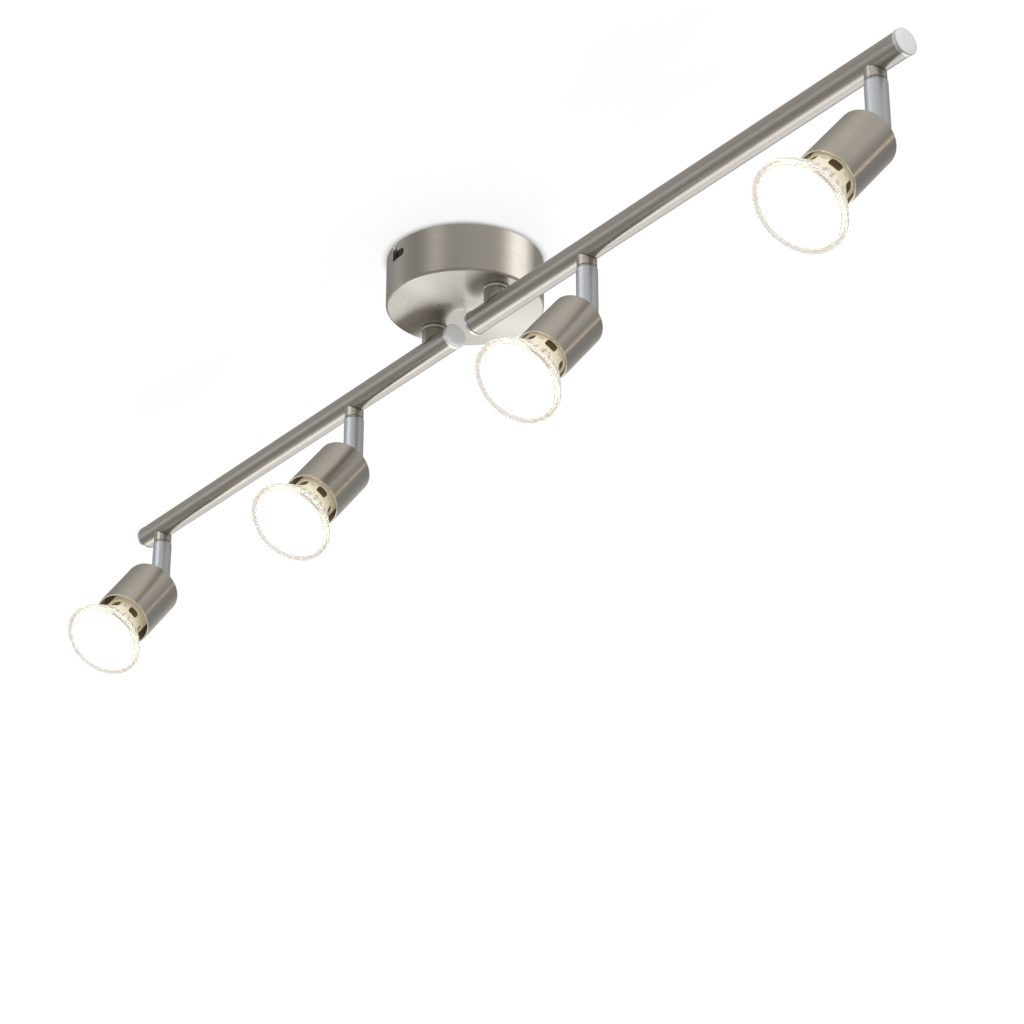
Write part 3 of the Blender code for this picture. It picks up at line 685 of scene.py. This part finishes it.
@dataclass
class Canopy:
    """The round cover on the ceiling with what it hides."""

    shop: Workshop
    wall: float = 1.0 * MM
    edge: float = 1.6 * MM
    rim_edge: float = 0.3 * MM
    slot_channel: Pair = (-8.3 * MM, -4.0 * MM)
    slot_end: float = 3.1 * MM
    slot_heights: Pair = (-6.0 * MM, -11.0 * MM)
    ring_bead: float = 0.55 * MM
    hole_turn: float = 1.3

    def slot_cutter(self, radius: float, top: float) -> Mesh:
        """The cutter of a twist slot on the -Y side.

        Args:
            radius: the cover's outer radius.
            top: height of its rim.

        Returns:
            The cutter, lying along -Y.
        """
        pocket, floor = self.slot_heights
        left, right = self.slot_channel
        small = 0.6 * MM
        end = (pocket - floor) / 2.0
        outline = filleted([(left, top + MM, 0.0), (left, floor, small), (self.slot_end, floor, end),
                            (self.slot_end, pocket, end), (right, pocket, small), (right, top + MM, 0.0)], 6)
        cutter = prism("slot", outline, radius - 4.0 * MM, radius + MM)
        return moved(cutter, rotation(90.0, "X"))

    def cover(self) -> None:
        """The spun cover with its rolled edge, twist slots and pivot holes."""
        low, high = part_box("canopy_cover")
        radius = (high.x - low.x) / 2.0
        top, bottom = high.z, low.z
        inner = radius - self.wall
        outline = filleted([(0.0, bottom + self.wall, 0.0), (inner, bottom + self.wall, self.wall),
                            (inner, top, self.rim_edge), (radius, top, self.rim_edge),
                            (radius, bottom, self.edge), (0.0, bottom, 0.0)], 8)
        shell = lathe("canopy_shell", outline, 192)
        tools = [self.slot_cutter(radius, top),
                 moved(self.slot_cutter(radius, top), rotation(180.0, "Z"))]
        for hand in Hand:
            pivot, _ = self.shop.joint(f"arm_{hand.value}_swing")
            hole = rod(NIPPLE_HOLE, bottom - MM, bottom + 3.0 * MM)
            turn = rotation(self.hole_turn, "Z")
            tools.append(moved(hole, Matrix.Translation((pivot.x, 0.0, 0.0)) @ turn))
        self.shop.place("canopy_shell", cut(shell, tools), "root", NICKEL, stands_for=["canopy_cover"])

    def rings(self) -> None:
        """The chrome ring round each post's seat, with a rolled lower edge."""
        for hand in Hand:
            node = f"pivot_ring_{hand.value}"
            low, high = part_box(node)
            middle = (low + high) / 2.0
            radius = (high.x - low.x) / 2.0
            outline = filleted([(NIPPLE_HOLE, high.z, 0.1 * MM), (radius, high.z, 0.15 * MM),
                                (radius, low.z, self.ring_bead), (NIPPLE_HOLE, low.z, 0.1 * MM)], 6)
            self.shop.place(f"seat_ring_{hand.value}", lathe("seat_ring", outline), "root", CHROME,
                            Matrix.Translation((middle.x, middle.y, 0.0)), [node])

    def hidden_parts(self) -> None:
        """Finishes of the parts above the cover's floor."""
        # the bracket and studs get the near-black zinc, painted shade for what shows through the twist slots
        for node in ("ceiling_bracket", "cover_stud_front", "cover_stud_back"):
            self.shop.dress(node, SLOT_SHADE_ZINC)
        for node in ("friction_washer_left", "friction_washer_right"):
            self.shop.dress(node, ZINC)
        self.shop.dress("terminal_block", PLASTIC)
        self.shop.dress("earth_screw", BRASS)

    def build(self) -> None:
        """Build the canopy."""
        self.cover()
        self.rings()
        self.hidden_parts()


# ---------------------------------------------------------------- arms


@dataclass
class Arm:
    """One swinging arm: its bar, caps, post and the parts that hold the post."""

    shop: Workshop
    hand: Hand
    spots: tuple[int, ...]
    bar_wall: float = 1.0 * MM
    cap_plug: float = 5.6 * MM
    cap_head: float = 2.6 * MM
    cap_bevel: float = 0.55 * MM
    spigot_hole: float = 3.8 * MM

    def __post_init__(self) -> None:
        """Read the arm's place from the frame."""
        self.body = f"arm_{self.hand.value}"
        self.pivot, _ = self.shop.joint(f"{self.body}_swing")
        low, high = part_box(f"arm_tube_{self.hand.value}")
        self.radius = (high.z - low.z) / 2.0
        self.height = (high.z + low.z) / 2.0
        self.ends = (low.x, high.x)

    def lying(self, x: float) -> Matrix:
        """A matrix that lays a piece made about Z along +X with its origin at x on the bar's axis."""
        return Matrix.Translation((x, 0.0, self.height)) @ rotation(90.0, "Y")

    def saddle(self) -> Mesh:
        """A cutter along X that clears the bar, for pieces whose origin is on the bar's axis."""
        cutter = rod(self.radius + GAP, -30.0 * MM, 30.0 * MM, 128)
        return moved(cutter, rotation(90.0, "Y"))

    def bar(self) -> None:
        """The tube, with the holes for the post's nipple and the spots' spigots."""
        middle = sum(self.ends) / 2.0
        half = (self.ends[1] - self.ends[0]) / 2.0
        inner = self.radius - self.bar_wall
        lip = 0.15 * MM
        outline = filleted([(inner, half, lip), (self.radius, half, lip),
                            (self.radius, -half, lip), (inner, -half, lip)], 3)
        tube = lathe("bar", outline, 96)
        upright = self.lying(middle).inverted()
        tools = [moved(rod(NIPPLE_HOLE, 0.0, 2.0 * self.radius),
                       upright @ Matrix.Translation((self.pivot.x, 0.0, self.height)))]
        for number in self.spots:
            place, _ = self.shop.joint(f"spot_{number}_pan")
            tools.append(moved(rod(self.spigot_hole, -2.0 * self.radius, 0.0),
                               upright @ Matrix.Translation((place.x, 0.0, self.height))))
        self.shop.place(f"bar_{self.hand.value}", cut(tube, tools), self.body, NICKEL,
                        self.lying(middle), [f"arm_tube_{self.hand.value}"])

    def caps(self) -> None:
        """The chrome cap in each end, slightly proud of the bar, with a soft edge and a shallow crown."""
        for kind in ("inner", "outer"):
            node = f"{kind}_cap_{self.hand.value}"
            low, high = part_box(node)
            outward = (kind == "outer") == (self.hand is Hand.RIGHT)
            face = high.x if outward else low.x
            radius = (high.z - low.z) / 2.0
            length = high.x - low.x
            crown = 0.18 * MM
            outline = filleted([(0.0, -crown * 0.2, 0.0), (radius * 0.55, -crown * 0.45, 0.0),
                                (radius - self.cap_bevel, -crown, 0.0), (radius, -self.cap_bevel, 0.45 * MM),
                                (radius, -self.cap_head, 0.12 * MM), (self.cap_plug, -self.cap_head, 0.0),
                                (self.cap_plug, -length, 0.4 * MM), (0.0, -length, 0.0)], 5)
            turn = Matrix.Identity(4) if outward else rotation(180.0, "X")
            self.shop.place(f"bar_cap_{kind}_{self.hand.value}", lathe("bar_cap", outline), self.body,
                            CHROME, self.lying(face) @ turn, [node])

    def post(self) -> None:
        """The short post that the bar hangs on, saddled to the bar."""
        node = f"pivot_post_{self.hand.value}"
        low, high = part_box(node)
        radius = (high.x - low.x) / 2.0
        top = high.z - self.height
        outline = filleted([(NIPPLE_HOLE, top, 0.0), (radius, top, 0.35 * MM),
                            (radius, 0.0, 0.0), (NIPPLE_HOLE, 0.0, 0.0)], 4)
        mesh = cut(lathe("post", outline, 96), [self.saddle()])
        self.shop.place(f"post_{self.hand.value}", mesh, self.body, NICKEL,
                        Matrix.Translation((self.pivot.x, 0.0, self.height)), [node])

    def build(self) -> None:
        """Build the arm."""
        self.bar()
        self.caps()
        self.post()
        self.shop.dress(f"pivot_nipple_{self.hand.value}", BRASS)
        self.shop.dress(f"lock_nut_{self.hand.value}", BRASS)


# ---------------------------------------------------------------- spot heads


@dataclass
class SpotHead:
    """One spot: collar, stem, knuckle, cup and lampholder."""

    shop: Workshop
    number: int
    arm: Arm
    groove_lip: float = 0.7 * MM
    groove_height: float = 0.5 * MM
    groove_depth: float = 0.55 * MM
    spigot_radius: float = 3.5 * MM
    spigot_bore: float = 2.2 * MM
    spigot_top: float = 3.0 * MM
    stem_bore_end: float = 33.6 * MM
    fork_slot: float = 4.6 * MM
    fork_depth: float = 4.4 * MM
    pin_hole: float = 1.8 * MM
    pin_hole_end: float = 4.3 * MM
    cup_back: float = 11.0 * MM
    cup_front: float = 52.0 * MM
    cup_wall: float = 1.0 * MM
    cup_edge: float = 1.3 * MM
    cup_hole: float = 3.5 * MM
    lip_bead: float = 0.62 * MM

    def __post_init__(self) -> None:
        """Read the head's axes from the frame."""
        self.prefix = f"spot_{self.number}"
        self.pan, _ = self.shop.joint(f"{self.prefix}_pan")
        self.hinge, across = self.shop.joint(f"{self.prefix}_tilt")
        _, aim = self.shop.joint(f"{self.prefix}_lamp_twist")
        turn = Matrix((across, across.cross(aim), -aim)).transposed().to_4x4()
        self.lamp_matrix = Matrix.Translation(self.hinge) @ turn
        self.bar_matrix = Matrix.Translation((self.pan.x, 0.0, self.arm.height))
        self.stem_matrix = self.bar_matrix @ Matrix.Rotation(math.atan2(across.y, across.x), 4, "Z")

    def collar(self) -> None:
        """The collar under the bar with a fine dark groove above its lower lip."""
        node = f"{self.prefix}_collar"
        low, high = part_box(node)
        radius = (high.x - low.x) / 2.0
        bottom = low.z - self.arm.height
        bore = self.spigot_radius + GAP
        shelf = bottom + self.groove_lip
        waist = radius - self.groove_depth
        soft = 0.15 * MM
        outline = filleted([(bore, 0.0, 0.0), (radius, 0.0, 0.0), (radius, shelf + self.groove_height, soft),
                            (waist, shelf + self.groove_height, 0.0), (waist, shelf, 0.0),
                            (radius, shelf, soft), (radius, bottom, soft), (bore, bottom, 0.0)], 3)
        mesh = cut(lathe("collar", outline, 96), [self.arm.saddle()])
        self.shop.place(f"{self.prefix}_bar_collar", mesh, self.arm.body, NICKEL, self.bar_matrix, [node])

    def stem(self) -> None:
        """The satin stem, with its spigot in the bar and its fork on the hinge pin."""
        node = f"{self.prefix}_stem"
        low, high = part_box(node)
        radius = (high.x - low.x) / 2.0
        tip = low.z - self.arm.height
        top = high.z - self.arm.height
        collar_low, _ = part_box(f"{self.prefix}_collar")
        shoulder = collar_low.z - GAP - self.arm.height
        drop = self.hinge.z - self.arm.height
        outline = filleted([(0.0, -self.stem_bore_end, 0.0), (self.spigot_bore, -self.stem_bore_end, 0.0),
                            (self.spigot_bore, top, 0.0), (self.spigot_radius, top, 0.3 * MM),
                            (self.spigot_radius, shoulder, 0.0), (radius, shoulder, 0.25 * MM),
                            (radius, tip, 2.6 * MM), (0.0, tip, 0.0)], 8)
        half, long = self.fork_slot / 2.0, 2.0 * radius
        slot = prism("fork_slot", [(-half, -long), (half, -long), (half, long), (-half, long)],
                     tip - MM, drop + self.fork_depth)
        across = Matrix.Translation((0.0, 0.0, drop)) @ rotation(90.0, "Y")
        hole = moved(rod(self.pin_hole, -2.0 * radius, self.pin_hole_end), across)
        mesh = cut(lathe("stem", outline, 96), [slot, hole])
        self.shop.place(f"{self.prefix}_satin_stem", mesh, f"{self.prefix}_swivel", SATIN,
                        self.stem_matrix, [node])

    def cup(self) -> None:
        """The spun cup with a rounded back edge and a rolled lip, whose lighter, warmer colour is painted warm
        light from the lamp.
        """
        node = f"{self.prefix}_cup"
        low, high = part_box(node)
        radius = (high.x - low.x) / 2.0
        inner = radius - self.cup_wall
        back, front = -self.cup_back, -self.cup_front
        floor = back - 1.2 * self.cup_wall
        outline = filleted([(self.cup_hole, floor, 0.0), (inner, floor, self.cup_wall),
                            (inner, front, self.cup_wall * 0.45), (radius, front, self.cup_wall * 0.45),
                            (radius, back, self.cup_edge), (self.cup_hole, back, 0.2 * MM)], 8)
        mesh = lathe("cup", outline, 128)
        # the faces of the rolled lip get the lighter, warmer metal: painted warm light from the lamp
        for polygon in mesh.polygons:
            polygon.material_index = 1 if polygon.center.z < front + self.lip_bead else 0
        self.shop.place(f"{self.prefix}_cup_shell", mesh, f"{self.prefix}_head", (NICKEL, LAMP_LIT_LIP),
                        self.lamp_matrix, [node])

    def build(self) -> None:
        """Build the head and its lamp."""
        self.collar()
        self.stem()
        self.cup()
        self.shop.dress(f"{self.prefix}_hinge_pin", ZINC)
        self.shop.dress(f"{self.prefix}_knuckle", ZINC)
        self.shop.dress(f"{self.prefix}_lampholder", HOLDER_CERAMIC)
        Lamp(self.shop, self.prefix, self.lamp_matrix).build()


@dataclass
class Lamp:
    """One reflector lamp: base with pins and crown, ribbed glass bowl, rim ring and lit face."""

    shop: Workshop
    prefix: str
    matrix: Matrix
    base_rear: float = 31.0 * MM
    rear_radius: float = 10.6 * MM
    recess: float = 48.0 * MM
    shoulder: Pair = (37.0 * MM, 39.5 * MM)
    crown_top: float = 58.0 * MM
    crown_radii: Pair = (13.1 * MM, 11.9 * MM)
    windows: int = 6
    first_window: float = -15.0
    window_size: Pair = (6.4 * MM, 6.8 * MM)
    slit_size: Pair = (1.5 * MM, 3.2 * MM)
    window_middle: float = 53.5 * MM
    pin_circle: float = 5.0 * MM
    pin_radii: Pair = (1.5 * MM, 2.4 * MM)
    neck_radius: float = 11.5 * MM
    glass_wall: float = 1.3 * MM
    ribs: int = 32
    rib_depth: float = 0.45 * MM
    rim_back: float = 75.2 * MM
    lens_back: float = 75.5 * MM
    front: float = 78.0 * MM
    lens_radius: float = 25.0 * MM
    face_radius: float = 21.5 * MM
    bead: float = 0.6 * MM
    body: str = field(init=False)

    def __post_init__(self) -> None:
        """Name the body that the lamp moves with."""
        self.body = f"{self.prefix}_lamp"

    def opening(self, angle: float, size: Pair, corner: float) -> Mesh:
        """A cutter for one opening of the crown.

        Args:
            angle: where it is round the lamp, in degrees.
            size: its width round the crown and its height along the axis.
            corner: its corner radius.

        Returns:
            The cutter.
        """
        half_w, half_h = size[0] / 2.0, size[1] / 2.0
        outline = filleted([(-half_w, -half_h, corner), (half_w, -half_h, corner),
                            (half_w, half_h, corner), (-half_w, half_h, corner)], 5)
        cutter = prism("opening", outline, self.crown_radii[1] - 0.8 * MM, self.crown_radii[0] + MM)
        turn = rotation(angle, "Z") @ rotation(90.0, "Y")
        return moved(cutter, Matrix.Translation((0.0, 0.0, -self.window_middle)) @ turn)

    def base(self) -> None:
        """The ceramic base: stepped body, two pins behind and a windowed crown in front."""
        outer, inner = self.crown_radii
        outline = filleted([(0.0, -self.base_rear, 0.0), (self.rear_radius, -self.base_rear, 0.8 * MM),
                            (self.rear_radius, -self.shoulder[0], 0.5 * MM), (outer, -self.shoulder[1], 0.8 * MM),
                            (outer, -self.crown_top, 0.35 * MM), (inner, -self.crown_top, 0.35 * MM),
                            (inner, -self.recess, 0.4 * MM), (0.0, -self.recess, 0.0)], 5)
        tools = []
        step = 360.0 / self.windows
        for index in range(self.windows):
            middle = self.first_window + index * step
            tools.append(self.opening(middle, self.window_size, 1.7 * MM))
            tools.append(self.opening(middle + step / 2.0, self.slit_size, 0.7 * MM))
        mesh = cut(lathe("lamp_base", outline, 120), tools)
        self.shop.place(f"{self.prefix}_crown_base", mesh, self.body, CROWN_CERAMIC, self.matrix,
                        [f"{self.prefix}_lamp_base"])
        root, tip = -self.base_rear - 0.5 * MM, -self.base_rear + 7.0 * MM
        shank, head = self.pin_radii
        pin = filleted([(0.0, root, 0.0), (shank, root, 0.0), (shank, tip - 3.0 * MM, 0.3 * MM),
                        (head, tip - 2.6 * MM, 0.3 * MM), (head, tip, 0.4 * MM), (0.0, tip, 0.0)], 4)
        for side, place in ((-1, "a"), (1, "b")):
            stand = self.matrix @ Matrix.Translation((side * self.pin_circle, 0.0, 0.0))
            self.shop.place(f"{self.prefix}_lamp_pin_{place}", lathe("lamp_pin", pin, 32), self.body,
                            LAMP_PINS, stand)

    def flute(self, angle: float, radius: float, height: float) -> float:
        """Radius of the ribbed bowl: rounded ribs that fade out at the neck and the rim."""
        along = (-height - self.crown_top) / (self.rim_back - self.crown_top)
        if along <= 0.0 or along >= 1.0:
            return radius
        fade = min(1.0, along * 5.0, (1.0 - along) * 12.0)
        return radius - self.rib_depth * fade * (1.0 - abs(math.cos(self.ribs * angle / 2.0)))

    def bowl(self) -> None:
        """The pressed glass bowl, ribbed outside, with its neck inside the crown painted dark brown as shade."""
        start = self.crown_top + GAP
        rim_radius = self.lens_radius - 0.6 * MM
        steps = 14
        outer: Outline = []
        for step in range(steps + 1):
            t = step / steps
            radius = self.neck_radius + (rim_radius - self.neck_radius) * t ** 0.72
            outer.append((radius, -(start + (self.rim_back - start) * t)))
        inner = [(radius - self.glass_wall, height) for radius, height in reversed(outer)]
        seat = self.recess + GAP
        bore = self.neck_radius - self.glass_wall
        outline = ([(0.0, -seat), (self.neck_radius, -seat)] + outer + inner
                   + [(bore, -seat - self.glass_wall), (0.0, -seat - self.glass_wall)])
        mesh = lathe("bowl", outline, self.ribs * 8, self.flute)
        # the neck's faces inside the crown get the dark brown, painted shade seen through the crown's windows
        for polygon in mesh.polygons:
            polygon.material_index = 1 if polygon.center.z > -start - 0.01 * MM else 0
        self.shop.place(f"{self.prefix}_glass_bowl", mesh, self.body, (REFLECTOR, NECK_SHADE), self.matrix,
                        [f"{self.prefix}_lamp_reflector"])

    def lens(self) -> None:
        """The clear rim ring and, inside it, the lit face."""
        inner = self.face_radius + 0.05 * MM
        bead = inner + self.bead
        low, dip = -self.front, -self.front + 0.55 * MM
        ring = filleted([(inner, -self.lens_back - 0.3 * MM, 0.2 * MM),
                         (self.lens_radius, -self.lens_back, 0.9 * MM),
                         (self.lens_radius, low, 0.9 * MM), (bead + 0.5 * MM, low, 0.3 * MM),
                         (bead + 0.2 * MM, dip, 0.1 * MM), (bead, dip, 0.1 * MM), (bead, low, 0.25 * MM),
                         (inner, low, 0.3 * MM)], 6)
        self.shop.place(f"{self.prefix}_rim_ring", lathe("rim_ring", ring, 144), self.body, RIM_GLASS,
                        self.matrix, [f"{self.prefix}_lamp_lens"])
        dome = 0.45 * MM
        near = -self.front + 0.5 * MM
        steps = 8
        face: Outline = [(0.0, -self.lens_back - 0.4 * MM), (self.face_radius, -self.lens_back - 0.4 * MM)]
        for step in range(steps + 1):
            t = 1.0 - step / steps
            face.append((self.face_radius * t, near - dome * (1.0 - t * t)))
        self.shop.place(f"{self.prefix}_lit_face", lathe("lit_face", face, 144), self.body, LIT_FACE,
                        self.matrix)

    def build(self) -> None:
        """Build the lamp."""
        self.base()
        self.bowl()
        self.lens()


# ---------------------------------------------------------------- studio


@dataclass(frozen=True)
class Glow:
    """One soft lobe of the studio's surroundings."""

    azimuth: float
    elevation: float
    spread: float
    strength: float
    colour: tuple[float, float, float] = (1.0, 1.0, 1.0)

    def direction(self) -> Vector:
        """The unit vector towards the lobe; azimuth 0 is -Y and 90 is +X."""
        a, e = math.radians(self.azimuth), math.radians(self.elevation)
        return Vector((math.sin(a) * math.cos(e), -math.cos(a) * math.cos(e), math.sin(e)))


def pieces(*starts: str, ending: tuple[str, ...] = ("",)) -> list[bpy.types.Object]:
    """The visible pieces whose names start and end in given ways.

    Args:
        starts: accepted beginnings.
        ending: accepted endings.

    Returns:
        The matching objects.
    """
    return [item for item in bpy.data.objects if item.name.startswith(starts) and item.name.endswith(ending)]


@dataclass
class Studio:
    """A plain white ceiling, soft surroundings and soft lights."""

    ceiling_height: float = 0.4 * MM
    ceiling_half: float = 9.0
    shade: Pair = (40.0 * MM, 49.0 * MM)
    lift: float = 0.86
    base: tuple[float, float, float] = (0.29, 0.285, 0.28)
    backdrop: tuple[float, float, float] = (0.98, 0.98, 0.98)
    glows: tuple[Glow, ...] = (
        Glow(-100.0, -45.0, 14.0, 2.2),
        Glow(-138.0, -26.0, 26.0, 1.12, (0.98, 1.0, 1.02)),
        Glow(-47.0, 2.0, 13.0, 0.66),
        Glow(-66.0, 30.0, 16.0, 0.15),
        Glow(90.0, 72.0, 42.0, 0.46, (1.0, 0.97, 0.90)),
        Glow(10.0, 30.0, 13.0, 0.58, (1.0, 0.97, 0.94)),
        Glow(118.0, 34.0, 16.0, 0.26, (1.0, 0.97, 0.90)),
        Glow(148.0, 11.0, 3.6, 4.0, (1.0, 0.80, 0.50)),
    )

    def surroundings(self) -> None:
        """World light as a dim base with soft lobes; a view that meets it directly sees plain white."""
        world = bpy.data.worlds.new("studio")
        bpy.context.scene.world = world
        world.use_nodes = True
        nodes = Nodes(world.node_tree)
        look = nodes.add("TexCoord").outputs["Generated"]
        total = None
        for glow in self.glows:
            dot = nodes.feed(nodes.add("VectorMath", operation="DOT_PRODUCT"), i0=look,
                             i1=tuple(glow.direction()))
            sharp = 1.0 / (1.0 - math.cos(math.radians(glow.spread)))
            power = nodes.math("MULTIPLY", nodes.math("SUBTRACT", dot.outputs["Value"], 1.0), sharp)
            lobe = nodes.math("MULTIPLY", nodes.math("EXPONENT", power), glow.strength)
            tint = nodes.feed(nodes.add("VectorMath", operation="SCALE"), i0=glow.colour, Scale=lobe)
            if total is None:
                total = tint.outputs[0]
                continue
            both = nodes.feed(nodes.add("VectorMath", operation="ADD"), i0=total, i1=tint.outputs[0])
            total = both.outputs[0]
        lit = nodes.feed(nodes.add("VectorMath", operation="ADD"), i0=total, i1=self.base)
        soft = nodes.feed(nodes.add("Background"), Color=lit.outputs[0])
        plain = nodes.feed(nodes.add("Background"), Color=self.backdrop + (1.0,))
        seen = nodes.add("LightPath").outputs["Is Camera Ray"]
        mix = nodes.feed(nodes.add("MixShader"), i0=seen, i1=soft.outputs[0], i2=plain.outputs[0])
        nodes.output(mix.outputs[0], "OutputWorld")

    def ceiling(self) -> None:
        """The white ceiling, which shows only from below, with a painted shadow under and round the canopy's
        edge.
        """
        bm = bmesh.new()
        half = self.ceiling_half
        corners = [(-half, -half), (-half, half), (half, half), (half, -half)]
        bm.faces.new([bm.verts.new((x, y, self.ceiling_height)) for x, y in corners])
        mesh = bpy.data.meshes.new("ceiling")
        bm.to_mesh(mesh)
        bm.free()
        material = bpy.data.materials.new("white_ceiling")
        material.use_nodes = True
        nodes = Nodes(material.node_tree)
        place = nodes.place()
        paint = nodes.noise(90.0, 2.0, Vector=place)
        radius = nodes.feed(nodes.add("VectorMath", operation="LENGTH"), i0=place)
        # painted shadow: the ceiling's even glow fades out inside the canopy's edge, dark under the canopy with a
        # soft contact shadow round it
        cover = nodes.add("MapRange", interpolation_type="SMOOTHSTEP")
        nodes.feed(cover, Value=radius.outputs["Value"], From_Min=self.shade[0], From_Max=self.shade[1])
        flat = nodes.feed(nodes.add("BsdfDiffuse"), Color=nodes.blend(paint, (0.30, 0.30, 0.30, 1.0),
                                                                      (0.31, 0.31, 0.31, 1.0)))
        lift = nodes.feed(nodes.add("Emission"), Color=(1.0, 1.0, 1.0, 1.0),
                          Strength=nodes.span(cover.outputs["Result"], 0.0, self.lift))
        both = nodes.feed(nodes.add("AddShader"), i0=flat.outputs[0], i1=lift.outputs[0])
        behind = nodes.add("NewGeometry").outputs["Backfacing"]
        clear = nodes.add("BsdfTransparent")
        mix = nodes.feed(nodes.add("MixShader"), i0=behind, i1=both.outputs[0], i2=clear.outputs[0])
        nodes.output(mix.outputs[0])
        item = bpy.data.objects.new("ceiling", mesh)
        item.data.materials.append(material)
        item.visible_shadow = False
        item.visible_glossy = False
        show(item)

    def light(self, name: str, glow: Glow, distance: float, size: Pair,
              only: Sequence[bpy.types.Object] = ()) -> bpy.types.Object:
        """A soft rectangular light that faces the fitting.

        Args:
            name: the light's name.
            glow: gives its direction, its colour and, as strength, its brightness.
            distance: how far it stands from the fitting.
            size: its width and height.
            only: the pieces that it lights; none means all.

        Returns:
            The light.
        """
        data = bpy.data.lights.new(name, "AREA")
        data.shape = "RECTANGLE"
        data.size, data.size_y = size
        data.energy = glow.strength * math.pi * size[0] * size[1]
        data.color = glow.colour
        item = bpy.data.objects.new(name, data)
        away = glow.direction()
        item.location = away * distance
        item.rotation_mode = "QUATERNION"
        item.rotation_quaternion = away.to_track_quat("Z", "Y")
        show(item)
        if only:
            receivers = bpy.data.collections.new(f"{name}_receivers")
            for piece in only:
                receivers.objects.link(piece)
            item.light_linking.receiver_collection = receivers
        return item

    def build(self) -> None:
        """Build the studio."""
        self.surroundings()
        self.ceiling()
        key = self.light("key", Glow(-127.0, -26.0, 0.0, 9.0), 2.6, (0.5, 0.5))
        key.visible_glossy = False
        canopy_side = pieces("canopy_shell", "seat_ring", "post_")
        self.light("side_panel", Glow(138.0, 26.0, 0.0, 0.80), 1.6, (0.70, 1.2), canopy_side)
        self.light("side_spill", Glow(140.0, 26.0, 0.0, 0.55), 1.6, (1.45, 1.2), canopy_side)
        uprights = pieces("spot_", ending=("stem", "collar"))
        self.light("stem_panel", Glow(-14.0, 25.0, 0.0, 1.2), 1.6, (0.95, 0.8), uprights)
        self.light("stem_fill", Glow(44.0, 25.0, 0.0, 0.26), 1.6, (1.7, 0.9), uprights)
        self.light("cap_panel", Glow(127.0, 25.0, 0.0, 0.32), 1.6, (1.2, 1.2), pieces("bar_cap"))
        inner = self.light("inner_cap_lamp", Glow(100.0, -45.0, 0.0, 190.0), 1.6, (0.2, 0.2),
                           pieces("bar_cap_inner_left"))
        inner.visible_glossy = False
        settings = bpy.context.scene.view_settings
        settings.view_transform = "Standard"
        settings.look = "None"


@dataclass(frozen=True)
class Viewpoint:
    """A long lens from below and in front of the right arm's end."""

    azimuth: float = 53.3
    elevation: float = -24.8
    distance: float = 1.857
    aim: tuple[float, float, float] = (-0.2046, 0.1859, -0.030)
    lens: float = 99.4

    def build(self) -> None:
        """Make the camera and use it."""
        data = bpy.data.cameras.new("viewpoint")
        data.lens = self.lens
        data.sensor_width = 36.0
        data.clip_start = 0.05
        item = bpy.data.objects.new("viewpoint", data)
        away = Glow(self.azimuth, self.elevation, 0.0, 0.0).direction()
        item.location = Vector(self.aim) + away * self.distance
        item.rotation_mode = "QUATERNION"
        item.rotation_quaternion = away.to_track_quat("Z", "Y")
        show(item)
        bpy.context.scene.camera = item


def main() -> None:
    """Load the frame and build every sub-assembly."""
    logging.basicConfig(level=logging.INFO, format="%(name)s: %(message)s")
    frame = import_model()
    shop = Workshop(frame)
    Viewpoint().build()
    Canopy(shop).build()
    for hand, spots in ((Hand.LEFT, (1, 2)), (Hand.RIGHT, (3, 4))):
        arm = Arm(shop, hand, spots)
        arm.build()
        for number in spots:
            SpotHead(shop, number, arm).build()
    Studio().build()
    LOG.info("%d pieces made", shop.made)


if __name__ == "__main__":
    main()
